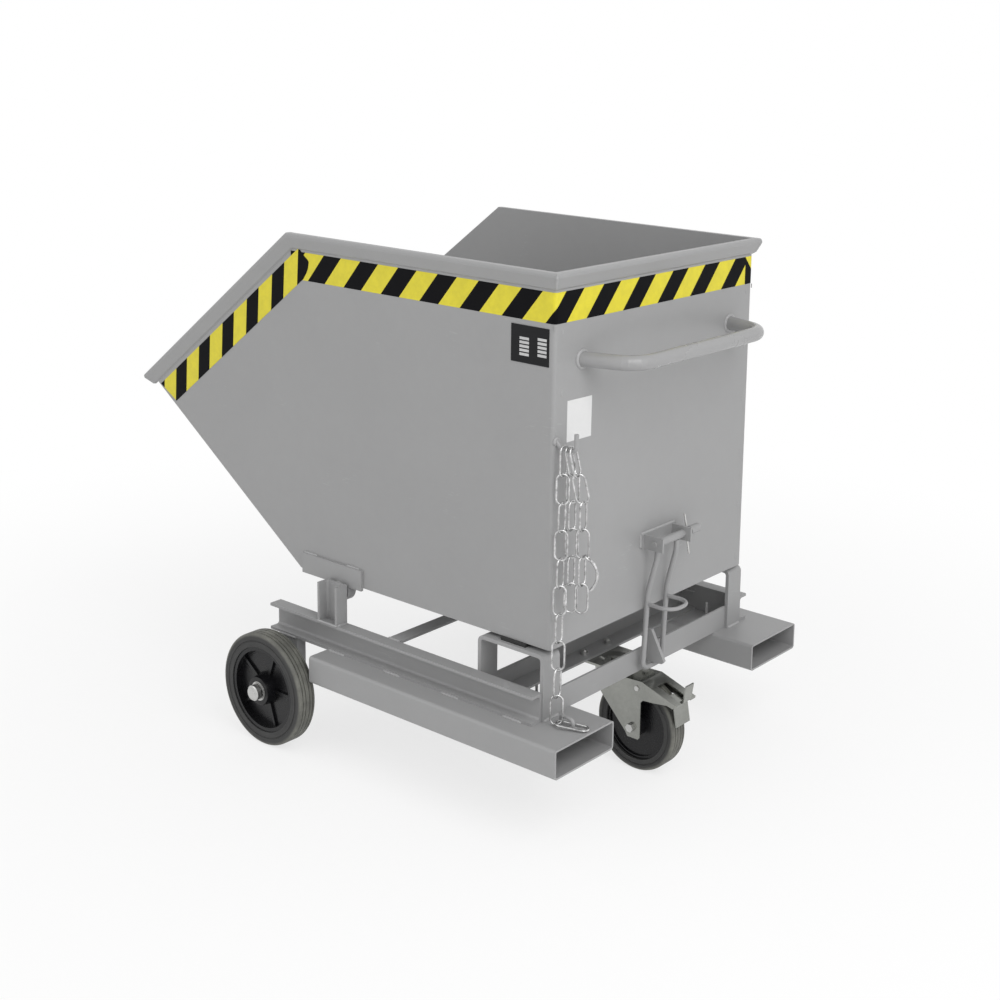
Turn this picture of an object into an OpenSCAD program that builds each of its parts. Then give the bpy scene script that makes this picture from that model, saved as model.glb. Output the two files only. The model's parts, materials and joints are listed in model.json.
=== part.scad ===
// Tipping skip trolley: a steel skip that tips on a three-wheeled frame with fork pockets.
// Millimetres, Z up, floor at z = 0. The push handle is towards +X, the skip's mouth towards -X.
// Inside the modules x = 0 is the outer face of the skip's rear wall and y = 0 the plane of symmetry.

/* [Skip] */
// Width over the side walls
skip_w = 670; // [560:1:760]
// Length of the flat floor, rear wall to the start of the slope
floor_len = 712; // [680:1:900]
// Height of the floor's underside
floor_z = 369; // [360:1:420]
// Slope of the front panel in degrees
slope_angle = 34.7; // [30:0.1:40]
// Height of the pouring lip
lip_z = 730; // [680:1:780]
// Height of the rim
rim_z = 1110; // [1060:1:1200]
// Distance from the rear wall to the kink in the rim
kink_x = 738; // [700:1:800]
// Thickness of the skip's sheet
sheet_t = 3; // [2:0.5:4]
// Outer radius of the bent rear corners
corner_r = 8; // [6:0.5:14]
// How far the side sheets return across the rear
return_w = 22; // [18:1:40]

/* [Rim] */
// Height of the folded rim
rim_drop = 34; // [28:1:44]
// Flat width of the rim outside the wall
rim_flat = 8; // [6:0.5:10]
// Greatest reach of the rim outside the wall
rim_out = 13; // [12:0.5:20]
// Depth of the rim's nose below its top
rim_nose = 9; // [7:0.5:12]
// Reach of the rim's foot outside the wall
rim_foot = 4; // [4:0.5:7]
// Height of the step under the rim's foot
rim_step = 3; // [2:0.5:5]
// Thickness of the folded rim strip
rim_t = 2.5; // [1.5:0.5:3]

/* [Pivot] */
// Distance of the tipping axis from the rear wall
pivot_x = 584; // [560:1:600]
// Height of the tipping axis
pivot_z = 354; // [346:1:358]
// Diameter of the pivot pins
pin_d = 20; // [16:1:24]
// Radial clearance of running fits
run_gap = 0.08; // [0.02:0.01:0.1]
// Radius of the round-bottomed lugs under the floor
lug_r = 28; // [24:1:32]
// Thickness of the pivot lugs
lug_t = 16; // [12:1:20]
// Length of the stiffening plates in front of the axis
plate_front = 118; // [80:1:130]
// Length of the stiffening plates behind the axis
plate_rear = 67; // [50:1:90]
// Height of the stiffening plates
plate_h = 45; // [35:1:60]
// Thickness of the stiffening plates
plate_t = 6; // [4:0.5:8]
// How far the stiffening plates hang below the floor
plate_hang = 6; // [2:1:6]
// Diameter of the spacers on the pivot pins
spacer_d = 34; // [30:1:36]

/* [Frame] */
// Height of the rail channels
rail_h = 60; // [50:1:70]
// Width of the rail channels' flanges
rail_b = 30; // [26:1:40]
// Thickness of the channels
rail_t = 6; // [4:0.5:8]
// Root radius of the channels
rail_r = 6; // [4:0.5:8]
// Gap between the skip's wall and the rail's web
rail_gap = 12; // [10:0.5:16]
// Front end of the rails, from the rear wall
rail_front = 768; // [750:1:790]
// Rear end of the rails, from the rear wall
rail_rear = 8; // [4:1:12]
// Width of the upright channels
post_w = 60; // [50:1:70]
// Height of the upright channels over the rails
post_h = 86; // [80:1:92]
// Width of the fork pockets
pocket_w = 180; // [150:1:200]
// Height of the fork pockets
pocket_h = 60; // [50:1:80]
// Wall of the fork pockets
pocket_t = 4; // [3:0.5:6]
// Outer corner radius of the fork pockets
pocket_r = 7; // [5:0.5:9]
// How far the pockets' centres lie outside the skip's walls
pocket_out = 3; // [0:1:8]
// Height of the pockets' underside
pocket_z = 165; // [155:1:170]
// Front end of the pockets, from the rear wall
pocket_front = 586; // [500:1:588]
// Rear end of the pockets, beyond the rear wall
pocket_rear = 94; // [60:1:110]
// Width of the bent flat bars under the rear of the skip
portal_w = 50; // [40:1:60]
// Thickness of the bent flat bars
portal_t = 8; // [6:0.5:10]
// Front leg of the bent bars, from the rear wall
portal_front = 176; // [170:1:200]
// Rear leg of the bent bars, from the rear wall
portal_back = 5; // [3:0.5:8]
// Outer bend radius of the bent bars
portal_r = 14; // [10:1:18]
// Height of the rubber rests under the skip
pad_h = 8; // [6:0.5:12]
// Length of the rubber rests
pad_l = 63; // [40:1:80]
// Width of the rubber rests
pad_w = 34; // [20:1:38]
// Thickness of the castor's two angle irons
angle_t = 5; // [4:0.5:6]
// Horizontal leg of the front angle iron
front_angle_b = 50; // [46:1:52]
// Upright leg of the front angle iron
front_angle_h = 40; // [30:1:50]
// Leg width of the rear angle iron
rear_angle_w = 50; // [44:1:52]
// Upright face of the rear angle iron, in front of the rear wall
rear_angle_x = 12; // [11:0.5:14]
// Width of the front cross bar
cross_w = 35; // [25:1:50]
// Thickness of the front cross bar
cross_t = 5; // [4:1:8]
// Front edge of the cross bar, from the rear wall
cross_x = 430; // [380:1:480]

/* [Front wheels] */
// Diameter of the front wheels
wheel_d = 250; // [240:1:252]
// Width of the tyres
tyre_w = 44; // [38:1:48]
// Distance of the front axle from the rear wall
wheel_x = 706; // [704:1:720]
// Gap between the rails' flanges and the wheels' hubs
wheel_gap = 28; // [24:1:34]
// Diameter of the rim that carries the tyre
rim_d = 190; // [180:1:200]
// Diameter of the hub at its root
hub_d = 74; // [60:1:80]
// Diameter of the hub at its end
hub_end_d = 62; // [52:1:66]
// Length of the hub
hub_l = 62; // [58:1:70]
// Wall of the wheel's rim
rim_wall = 9; // [6:0.5:12]
// Thickness of the wheel's disc
disc_t = 8; // [6:1:12]
// Thickness of a spoke
spoke_t = 6; // [4:0.5:8]
// Width of a spoke along the axle
spoke_w = 18; // [12:1:24]
// Diameter of the axles
axle_d = 20; // [16:1:25]
// Number of spokes in a wheel
spokes = 5; // [3:1:8]
// Outer diameter of the bearings
bearing_d = 42; // [36:1:46]
// Width of a bearing
bearing_w = 12; // [8:1:16]
// Outer diameter of the axle washers
washer_d = 38; // [30:1:44]
// Thickness of the axle washers
washer_t = 3; // [2:0.5:5]
// Diameter of the head on an axle's end
axle_cap_d = 34; // [28:1:40]
// Length of the head on an axle's end
axle_cap_l = 12; // [8:1:16]
// Length of the wheel brackets along the rail
bracket_l = 55; // [45:1:70]
// Width of the wheel brackets
bracket_w = 25; // [22:1:26]
// Wall of the wheel brackets
bracket_t = 4; // [3:0.5:6]
// How far the brackets reach below the axle
bracket_below = 26; // [20:1:34]
// Front face of the brackets, ahead of the axle
bracket_ahead = 34; // [18:1:38]

/* [Castor] */
// Diameter of the castor wheel
castor_d = 200; // [190:1:202]
// Width of the castor tyre
castor_w = 45; // [40:1:46]
// Distance of the swivel axis from the rear wall
swivel_x = 94.5; // [90:0.5:98]
// Trail of the castor
trail = 74.5; // [66:0.5:78]
// Length of the top plate
top_l = 140; // [135:1:150]
// Width of the top plate
top_w = 110; // [100:1:120]
// Thickness of the top plate
top_t = 5; // [4:0.5:6]
// Bolt pitch along the trolley
bolt_px = 105; // [100:1:110]
// Bolt pitch across the trolley
bolt_py = 80; // [70:1:84]
// Diameter of the bolts
bolt_d = 10; // [8:1:12]
// Across-flats of the nuts
nut_s = 17; // [15:1:19]
// Height of the nuts
nut_h = 8; // [6:0.5:10]
// Diameter of the swivel head
head_d = 84; // [80:1:96]
// Height of the swivel head under the top plate
head_h = 15; // [14:0.5:18]
// Gap between the turning and the fixed race
race_gap = 0.5; // [0.3:0.1:1]
// Diameter of the kingpin
king_d = 16; // [12:1:20]
// Outer width over the fork's cheeks
fork_w = 72; // [68:1:76]
// Thickness of the fork
fork_t = 3; // [2:0.5:4]
// Half width of the fork's legs at the axle
leg_half = 23; // [20:1:26]
// Diameter of the dish pressed into the top plate
dish_d = 66; // [50:1:70]
// Depth of the dish pressed into the top plate
dish_t = 5; // [3:0.5:6]
// Diameter of the castor's axle bolt
castor_axle_d = 12; // [10:1:14]
// Across-flats of the castor's axle nut
castor_nut_s = 19; // [17:1:22]
// Reach of the fork's arm behind the swivel axis
arm_reach = 188.5; // [185:0.5:195]
// Width of the slot in the fork's arm
slot_w = 31; // [30:1:34]
// Width of the brake pedal
pedal_w = 28; // [20:1:29]
// Width of the brake shoe
shoe_w = 48; // [40:1:52]
// Width over the brake's side arms
brake_w = 60; // [56:1:62]
// Thickness of the brake parts
brake_t = 3; // [2:0.5:4]
// Diameter of the brake's rivet
rivet_d = 8; // [6:0.5:9]
// Distance of the rivet behind the swivel axis
rivet_x = 86.9; // [84:0.1:90]
// Height of the rivet below the swivel head
rivet_drop = 14.2; // [13:0.1:16]

/* [Handle] */
// Tube diameter of the push handle
handle_d = 30; // [24:1:34]
// Wall of the handle tube
handle_t = 2.5; // [2:0.5:4]
// Height of the handle
handle_z = 934; // [900:1:980]
// Sideways distance of the handle's feet
handle_foot_y = 252; // [220:1:280]
// Reach of the handle beyond the rear wall
handle_reach = 123; // [118:1:150]
// Angle at which the handle's legs lean inwards
handle_lean = 17.2; // [0:0.1:25]
// Bend radius of the handle's centre line
handle_r = 58; // [45:1:70]

/* [Latch] */
// Height of the latch bracket's pin
latch_z = 518; // [500:1:540]
// Distance of the latch pin behind the rear wall
latch_x = 33; // [28:1:36]
// Diameter of the latch pin
latch_pin_d = 12; // [10:0.5:14]
// Width over the bracket's ears
ear_w = 104; // [96:1:120]
// Sideways place of the ears' middle
ear_y = 8; // [4:1:9]
// Width of the bracket's plate on the rear wall
ear_web = 118; // [112:1:126]
// Height of the ears
ear_h = 30; // [26:1:40]
// Length of the ears
ear_l = 53; // [50:1:60]
// Thickness of the bracket
ear_t = 5; // [4:0.5:6]
// Diameter of the turning sleeve
sleeve_d = 17; // [16:0.5:20]
// Diameter of the latch's rod
rod_d = 11; // [9:0.5:11.5]
// Half distance between the loop's legs
loop_y = 33.5; // [30:0.5:36]
// Reach of the latch pin past the far ear
pin_tail = 50; // [36:1:60]
// Diameter of the head on the latch pin's tail
pin_head_d = 19; // [14:1:22]
// Length of the head on the latch pin's tail
pin_head_l = 32; // [10:1:34]
// Length of the split pin
split_l = 84; // [60:1:100]
// Diameter of the split pin
split_d = 4; // [3:0.5:5]
// Thickness of the hooked lug on the frame
catch_t = 8; // [6:0.5:10]
// Reach of the pull ring beyond the rear wall
ring_reach = 79; // [70:1:90]
// Half width of the pull ring
ring_y = 38; // [36:1:42]
// Diameter of the pull ring's rod
ring_d = 8.5; // [7:0.5:9]
// Bend radius of the pull ring
ring_r = 30; // [20:1:34]
// Height of the pull ring below the latch pin
ring_drop = 136; // [120:1:160]

/* [Chain] */
// Outer length of a chain link
link_l = 63; // [58:1:66]
// Outer width of a chain link
link_w = 28; // [26:1:32]
// Wire diameter of the chain
link_d = 4; // [3.5:0.5:5]
// Free play between neighbouring links
link_play = 0.3; // [0.2:0.1:1]
// Diameter of the chain hook's rod
hook_d = 9; // [8:0.5:11]
// Number of links in the long hanging strand
drop_links = 10; // [8:1:10]
// Number of links in each of the two shorter strands
loop_links = 6; // [3:1:7]
// Outer length of the long link on the frame
anchor_l = 70; // [60:1:80]
// Outer width of the long link on the frame
anchor_w = 28; // [24:1:32]
// Wire diameter of the long link on the frame
anchor_d = 5; // [4:0.5:5]
// Diameter of the anchor bow's rod
bow_d = 8; // [6:0.5:10]

/* [Rating plate] */
// Length of the rating plate
tag_l = 94; // [70:1:120]
// Height of the rating plate
tag_h = 73; // [50:1:90]
// Thickness of the rating plate
tag_t = 1; // [0.8:0.1:2]
// Distance of the rating plate from the rear wall
tag_x = 14; // [10:1:40]
// Distance of the rating plate's upper edge below the rim
tag_drop = 109; // [100:1:140]

/* [Hidden] */

$fn = 48;
bend_step = 12;
eps = 0.01;
far = 2000;

// The skip's outline in the side view.
lip_x = floor_len + (lip_z - floor_z) / tan(slope_angle);
rim_angle = atan2(rim_z - lip_z, lip_x - kink_x);
rim_run = norm([lip_x - kink_x, rim_z - lip_z]);
lip_angle = slope_angle + rim_angle;
wall_y = skip_w / 2;

// The frame's heights and side planes.
rail_y = wall_y + rail_gap;
rail_z = pocket_z + pocket_h;
rail_top = rail_z + rail_h;
portal_y = rail_y - portal_w / 2;
pocket_y = wall_y + pocket_out;
wheel_y = rail_y + rail_b + wheel_gap + hub_l / 2;
pad_x = (portal_front + portal_back) / 2 - pad_l / 2;

// The model stands centred over its own box, from the pouring lip to the handle.
nose_r = rim_out - rim_flat;
lip_reach = kink_x + (rim_run + rim_flat) * cos(rim_angle) + nose_r * (1 - sin(rim_angle));
centre_x = (lip_reach - handle_reach) / 2;

// Heights of the wheels and of the castor's head.
wheel_z = wheel_d / 2;
castor_z = castor_d / 2;
head_z = rail_z - top_t;
crown_z = head_z - head_h;
castor_x = -swivel_x + trail;

steel_grey = [0.62, 0.62, 0.63];
zinc_grey = [0.72, 0.72, 0.66];
rubber_black = [0.13, 0.13, 0.13];
plastic_black = [0.08, 0.08, 0.08];

module placed() {
    translate([centre_x, 0, 0])
        children();
}

// Draws its children on the +Y side, or mirrored on the -Y side.
module on_side(side) {
    if (side > 0)
        children();
    else
        mirror([0, 1, 0])
            children();
}

// Extrudes a section drawn in Y and Z along X.
module along_x(x0, length) {
    translate([x0, 0, 0])
        rotate([90, 0, 90])
            linear_extrude(length)
                children();
}

// Extrudes an outline drawn in X and Z along Y, from y0 towards +Y.
module along_y(y0, length) {
    translate([0, y0 + length, 0])
        rotate([90, 0, 0])
            linear_extrude(length)
                children();
}

module rounded_box_2d(w, h, r) {
    translate([r, 0])
        square([w - 2 * r, h]);
    translate([0, r])
        square([w, h - 2 * r]);
    for (x = [r, w - r], y = [r, h - r])
        translate([x, y])
            circle(r);
}

// A channel section with its web on the left and fillets in its root.
module channel_2d(h, b, t, r) {
    difference() {
        square([b, h]);
        translate([t + r, t])
            square([b, h - 2 * t]);
        translate([t, t + r])
            square([b, h - 2 * t - 2 * r]);
        for (y = [t + r, h - t - r])
            translate([t + r, y])
                circle(r);
    }
}

function unit(v) = v / norm(v);

// The stations of a bend between the straights a-b and b-c: each holds a point and a direction.
function bend_stations(a, b, c, r) =
    let (along = unit(b - a),
         out = unit(c - b),
         turn = acos(along * out),
         inward = unit(out - (along * out) * along),
         centre = b - r * tan(turn / 2) * along + r * inward,
         steps = max(1, ceil(turn / bend_step)))
    [for (i = [0 : steps])
        let (w = turn * i / steps)
        [centre + r * (sin(w) * along - cos(w) * inward), cos(w) * along + sin(w) * inward]];

// The stations along a rod through the points, bent to the listed radius at each inner point.
function rod_stations(points, bends) =
    let (last = len(points) - 1)
    concat([[points[0], unit(points[1] - points[0])]],
           [for (i = [1 : last - 1], s = bend_stations(points[i - 1], points[i], points[i + 1], bends[i])) s],
           [[points[last], unit(points[last] - points[last - 1])]]);

// A normal for each station, carried along the rod without twisting.
function rod_normals(stations, first) =
    [for (i = 0, n = unit(first - (first * stations[0][1]) * stations[0][1]);
          i < len(stations);
          i = i + 1,
          n = i < len(stations) ? unit(n - (n * stations[i][1]) * stations[i][1]) : n) n];

// Slides a point along a direction to the rear wall's face.
function on_wall(p, along) = p - along * p[0] / along[0];

// A round rod or tube swept through a list of points. inner is the bore of a tube, or 0;
// at_wall tells which of its two ends are cut along the rear wall.
module rod(points, d, bends, sides = 16, inner = 0, at_wall = [false, false]) {
    stations = rod_stations(points, bends);
    normals = rod_normals(stations, [0.1, 0.2, 1]);
    count = len(stations);
    rings = [for (size = inner > 0 ? [d, inner] : [d], i = [0 : count - 1], k = [0 : sides - 1])
        let (along = stations[i][1],
             n = normals[i],
             side = cross(along, n),
             a = 360 * k / sides,
             p = stations[i][0] + size / 2 * (cos(a) * n + sin(a) * side))
        (at_wall[0] && i == 0) || (at_wall[1] && i == count - 1) ? on_wall(p, along) : p];
    bore = count * sides;
    end = (count - 1) * sides;
    next = [for (k = [0 : sides - 1]) (k + 1) % sides];
    skin = [for (i = [0 : count - 2], k = [0 : sides - 1])
        [i * sides + k, i * sides + next[k], (i + 1) * sides + next[k], (i + 1) * sides + k]];
    lining = [for (f = skin) [for (j = [3 : -1 : 0]) bore + f[j]]];
    caps = [[for (k = [sides - 1 : -1 : 0]) k], [for (k = [0 : sides - 1]) end + k]];
    rims = [for (k = [0 : sides - 1]) each [
        [k, bore + k, bore + next[k], next[k]],
        [end + next[k], end + bore + next[k], end + bore + k, end + k]]];
    polyhedron(points = rings, faces = concat(skin, inner > 0 ? concat(lining, rims) : caps));
}

function arc_points(c, r, a0, a1, n) =
    [for (i = [0 : n]) c + r * [cos(a0 + (a1 - a0) * i / n), sin(a0 + (a1 - a0) * i / n)]];

// Frame

module rail(side) {
    color(steel_grey) placed() on_side(side)
        along_x(-rail_front, rail_front - rail_rear)
            translate([rail_y, rail_z])
                channel_2d(rail_h, rail_b, rail_t, rail_r);
}

module fork_pocket(side) {
    color(steel_grey) placed() on_side(side)
        along_x(-pocket_front, pocket_front + pocket_rear)
            translate([pocket_y - pocket_w / 2, pocket_z])
                difference() {
                    rounded_box_2d(pocket_w, pocket_h, pocket_r);
                    translate([pocket_t, pocket_t])
                        rounded_box_2d(pocket_w - 2 * pocket_t, pocket_h - 2 * pocket_t,
                                       pocket_r - pocket_t);
                }
}

// The upright channel carries the pivot pin in its web.
module front_post(side) {
    color(steel_grey) placed() on_side(side)
        difference() {
            translate([-pivot_x - post_w / 2, rail_y, rail_top])
                linear_extrude(post_h)
                    translate([post_w, 0])
                        rotate(90)
                            channel_2d(post_w, rail_b, rail_t, rail_r);
            translate([-pivot_x, rail_y - eps, pivot_z])
                rotate([-90, 0, 0])
                    cylinder(h = rail_t + 2 * eps, d = pin_d);
        }
}

// The outer outline of a bent bar: two legs, a flat top and two round bends.
module portal_outline_2d(inset) {
    r = portal_r - inset;
    x0 = -portal_front + inset;
    x1 = -portal_back - inset;
    z1 = floor_z - pad_h - inset;
    translate([x0, rail_z])
        square([x1 - x0, z1 - r - rail_z]);
    translate([x0 + r, rail_z])
        square([x1 - x0 - 2 * r, z1 - rail_z]);
    for (x = [x0 + r, x1 - r])
        translate([x, z1 - r])
            circle(r);
}

module rear_portal(side) {
    color(steel_grey) placed() on_side(side)
        along_y(portal_y - portal_w / 2, portal_w)
            difference() {
                portal_outline_2d(0);
                translate([0, -eps])
                    portal_outline_2d(portal_t);
                translate([-portal_front + portal_t, rail_z - 1])
                    square([portal_front - portal_back - 2 * portal_t, 2]);
            }
}

module rest_pad(side) {
    color(rubber_black) placed() on_side(side)
        translate([-pad_x - pad_l, portal_y - pad_w / 2, floor_z - pad_h])
            cube([pad_l, pad_w, pad_h]);
}

module castor_angle_front() {
    x0 = -portal_front;
    color(steel_grey) placed()
        difference() {
            translate([x0, -rail_y, rail_z]) {
                cube([front_angle_b, 2 * rail_y, angle_t]);
                cube([angle_t, 2 * rail_y, front_angle_h]);
            }
            for (side = [-1, 1])
                translate([x0 - eps, side * portal_y - portal_w / 2 - eps, rail_z - eps])
                    cube([portal_t + 2 * eps, portal_w + 2 * eps, front_angle_h + 2 * eps]);
            castor_bolt_holes();
        }
}

module castor_angle_rear() {
    half = portal_y - portal_w / 2;
    color(steel_grey) placed()
        difference() {
            translate([-rear_angle_x, -half, rail_z]) {
                translate([-rear_angle_w, 0, 0])
                    cube([rear_angle_w, 2 * half, angle_t]);
                translate([-angle_t, 0, 0])
                    cube([angle_t, 2 * half, rear_angle_w]);
            }
            castor_bolt_holes();
        }
}

// A thin flat bar between the rails, let in under their top flanges.
module front_cross_bar() {
    color(steel_grey) placed()
        translate([-cross_x, -rail_y, rail_top - cross_t])
            cube([cross_w, 2 * rail_y, cross_t]);
}

// A box-section bracket hangs from each rail and holds an axle.
module wheel_bracket(side) {
    x0 = -wheel_x - bracket_ahead;
    z0 = wheel_z - bracket_below;
    color(steel_grey) placed() on_side(side)
        difference() {
            translate([x0, rail_y + rail_b / 2 - bracket_w / 2, z0])
                linear_extrude(rail_z - z0)
                    difference() {
                        square([bracket_l, bracket_w]);
                        translate([bracket_t, bracket_t])
                            square([bracket_l - 2 * bracket_t, bracket_w - 2 * bracket_t]);
                    }
            translate([-wheel_x, rail_y, wheel_z])
                rotate([-90, 0, 0])
                    cylinder(h = rail_b, d = axle_d);
        }
}

// The axle passes through its bracket, with a collar, a washer and a turned head.
module front_axle(side) {
    y_in = rail_y + rail_b / 2 - bracket_w / 2;
    hub_in = wheel_y - hub_l / 2;
    hub_out = wheel_y + hub_l / 2;
    collar_y = y_in + bracket_w;
    color(zinc_grey) placed() on_side(side)
        translate([-wheel_x, 0, wheel_z])
            rotate([-90, 0, 0]) {
                translate([0, 0, y_in - washer_t])
                    cylinder(h = hub_out + washer_t - y_in + washer_t, d = axle_d);
                translate([0, 0, y_in - washer_t])
                    cylinder(h = washer_t, d = washer_d);
                translate([0, 0, collar_y])
                    cylinder(h = hub_in - race_gap - collar_y, d = washer_d);
                translate([0, 0, hub_out + race_gap])
                    cylinder(h = washer_t, d = washer_d);
                translate([0, 0, hub_out + race_gap + washer_t])
                    cylinder(h = 2, d = axle_d);
                translate([0, 0, hub_out + race_gap + washer_t + 2])
                    cylinder(h = axle_cap_l - 3, d = axle_cap_d);
                translate([0, 0, hub_out + race_gap + washer_t + axle_cap_l - 1])
                    cylinder(h = 2, d1 = axle_cap_d, d2 = axle_cap_d - 4);
            }
}

// The lug that the latch's loop hooks under, welded to the rear angle iron.
catch_points = [[0, 17], [43, 20], [48, 26], [14, 89], [6, 90], [0, 75]];

module latch_catch() {
    color(steel_grey) placed()
        along_y(-catch_t / 2, catch_t)
            translate([-rear_angle_x, rail_z])
                polygon(catch_points);
}

// A stub pin fixed in the post's web; the skip's lug turns on it.
module pivot_pin(side) {
    y_in = wall_y - lug_t;
    color(steel_grey) placed() on_side(side)
        translate([-pivot_x, 0, pivot_z])
            rotate([-90, 0, 0]) {
                translate([0, 0, y_in])
                    cylinder(h = rail_y + rail_t - y_in, d = pin_d);
                translate([0, 0, wall_y + plate_t + race_gap])
                    cylinder(h = rail_gap - plate_t - race_gap, d = spacer_d);
            }
}

module castor_bolt_holes() {
    for (x = [-bolt_px / 2, bolt_px / 2], y = [-bolt_py / 2, bolt_py / 2])
        translate([-swivel_x + x, y, head_z - nut_h - 1])
            cylinder(h = top_t + nut_h + angle_t + 2, d = bolt_d);
}

module castor_top_plate() {
    color(zinc_grey) placed()
        difference() {
            union() {
                translate([-swivel_x - top_l / 2, -top_w / 2, head_z])
                    linear_extrude(top_t)
                        rounded_box_2d(top_l, top_w, 8);
                translate([-swivel_x, 0, crown_z + head_h / 2 + race_gap])
                    cylinder(h = head_h / 2 - race_gap, d1 = head_d - 10, d2 = head_d - 4);
            }
            translate([-swivel_x, 0, head_z + top_t - dish_t])
                cylinder(h = dish_t + eps, d1 = dish_d - 4 * dish_t, d2 = dish_d);
            castor_bolt_holes();
            translate([-swivel_x, 0, crown_z])
                cylinder(h = head_h + top_t + 1, d = king_d);
        }
}

module castor_bolts() {
    color(zinc_grey) placed()
        for (x = [-bolt_px / 2, bolt_px / 2], y = [-bolt_py / 2, bolt_py / 2])
            translate([-swivel_x + x, y, 0]) {
                translate([0, 0, head_z - nut_h / 2])
                    cylinder(h = nut_h / 2, d = nut_s, $fn = 6);
                translate([0, 0, head_z])
                    cylinder(h = top_t + angle_t + nut_h + 3, d = bolt_d);
                translate([0, 0, rail_z + angle_t])
                    cylinder(h = nut_h, d = nut_s, $fn = 6);
            }
}

module castor_kingpin() {
    color(zinc_grey) placed()
        translate([-swivel_x, 0, 0]) {
            translate([0, 0, crown_z - fork_t - race_gap - 5])
                cylinder(h = 5, d = king_d + 10);
            translate([0, 0, crown_z - fork_t - race_gap])
                cylinder(h = head_z + top_t - crown_z + fork_t + race_gap, d = king_d);
        }
}

// Skip

module side_outline_2d(rear_x) {
    top = rim_t;
    rim_shift = top * tan(rim_angle / 2);
    lip_shift = top / sin(lip_angle);
    polygon([
        [rear_x, floor_z],
        [-floor_len, floor_z],
        [-lip_x + lip_shift * cos(slope_angle), lip_z - lip_shift * sin(slope_angle)],
        [-kink_x + rim_shift, rim_z - top],
        [rear_x, rim_z - top]
    ]);
}

// The plan of a side sheet with its rounded corner, set in by a distance.
module corner_plan_2d(inset) {
    front = lip_x + inset + 10;
    rear_y = wall_y - return_w - inset;
    translate([-front, rear_y])
        square([front - corner_r, return_w]);
    translate([-corner_r, rear_y])
        square([corner_r - inset, return_w + inset - corner_r]);
    translate([-corner_r, wall_y - corner_r])
        circle(corner_r - inset);
}

// Each side sheet is bent round the rear corner and returns across the rear.
module side_panel(side) {
    color(steel_grey) placed() on_side(side)
        intersection() {
            translate([0, 0, floor_z - 1])
                linear_extrude(rim_z - floor_z)
                    difference() {
                        corner_plan_2d(0);
                        corner_plan_2d(sheet_t);
                    }
            along_y(wall_y - return_w - 1, return_w + 2)
                side_outline_2d(1);
        }
}

module rear_panel() {
    half = wall_y - return_w;
    color(steel_grey) placed()
        translate([-sheet_t, -half, floor_z])
            cube([sheet_t, 2 * half, rim_z - rim_t - floor_z]);
}

module floor_panel() {
    half = wall_y - sheet_t;
    bend = sheet_t * tan(slope_angle / 2);
    color(steel_grey) placed()
        intersection() {
            along_y(-half, 2 * half)
                polygon([
                    [-floor_len, floor_z],
                    [-floor_len + bend, floor_z + sheet_t],
                    [-sheet_t, floor_z + sheet_t],
                    [-sheet_t, floor_z]
                ]);
            // The floor's rear corners follow the bends of the side sheets.
            translate([-floor_len - 1, 0, floor_z - 1])
                linear_extrude(sheet_t + 2) {
                    translate([0, -half])
                        square([floor_len + 1 - corner_r, 2 * half]);
                    translate([0, corner_r - wall_y])
                        square([floor_len + 1, 2 * (wall_y - corner_r)]);
                    for (side = [-1, 1])
                        translate([floor_len + 1 - corner_r, side * (wall_y - corner_r)])
                            circle(corner_r - sheet_t);
                }
        }
}

module slope_panel() {
    half = wall_y - sheet_t;
    bend = sheet_t * tan(slope_angle / 2);
    shift = rim_t / sin(lip_angle);
    top = [-lip_x + shift * cos(slope_angle), lip_z - shift * sin(slope_angle)];
    back = sheet_t / sin(lip_angle);
    color(steel_grey) placed()
        along_y(-half, 2 * half)
            polygon([
                [-floor_len, floor_z],
                top,
                top + back * [cos(rim_angle), sin(rim_angle)],
                [-floor_len + bend, floor_z + sheet_t]
            ]);
}

// The rim's section: u runs outwards from the wall, v upwards from the rim's top.
// lean moves each point in as it lies lower, where the wall below isn't square to the rim.
function rim_section(lean) =
    let (outer = concat([[-sheet_t, 0]],
                        arc_points([rim_flat, -nose_r], nose_r, 90, 0, 5),
                        [[rim_out, -rim_nose], [rim_foot, rim_step - rim_drop], [0, -rim_drop]]),
         inner = [[0, 2 * rim_step - rim_drop], [rim_foot - rim_t + 1, 2 * rim_step - rim_drop],
                  [rim_out - rim_t, -rim_nose + 0.5], [rim_out - rim_t, -nose_r],
                  [rim_flat, -rim_t], [-sheet_t, -rim_t]])
    [for (p = concat(outer, inner)) [p.x + p.y * lean, p.y]];

// The part of the side view that lies behind the mitre at the kink.
module behind_kink() {
    t = tan(rim_angle / 2);
    along_y(0, far)
        polygon([
            [-kink_x - far * t, rim_z + far],
            [-kink_x + far * t, rim_z - far],
            [far, rim_z - far],
            [far, rim_z + far]
        ]);
}

// The plan region beside a wall, ended by the mitre at a corner of the rim.
module beside_wall_2d(end_x) {
    y0 = wall_y - sheet_t - 1;
    polygon([
        [-far, y0],
        [end_x - sheet_t - 1, y0],
        [end_x + far, wall_y + far],
        [-far, wall_y + far]
    ]);
}

module rim_side(side) {
    color(steel_grey) placed() on_side(side) {
        intersection() {
            along_x(-kink_x - far / 10, kink_x + far / 5)
                translate([wall_y, rim_z])
                    polygon(rim_section(0));
            linear_extrude(far)
                beside_wall_2d(0);
            behind_kink();
        }
        difference() {
            translate([-kink_x, 0, rim_z])
                rotate([0, -rim_angle, 0])
                    mirror([1, 0, 0])
                        intersection() {
                            along_x(-far / 10, rim_run + far / 5)
                                translate([wall_y, 0])
                                    polygon(rim_section(0));
                            translate([0, 0, -far / 2])
                                linear_extrude(far)
                                    beside_wall_2d(rim_run);
                        }
            behind_kink();
        }
    }
}

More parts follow.
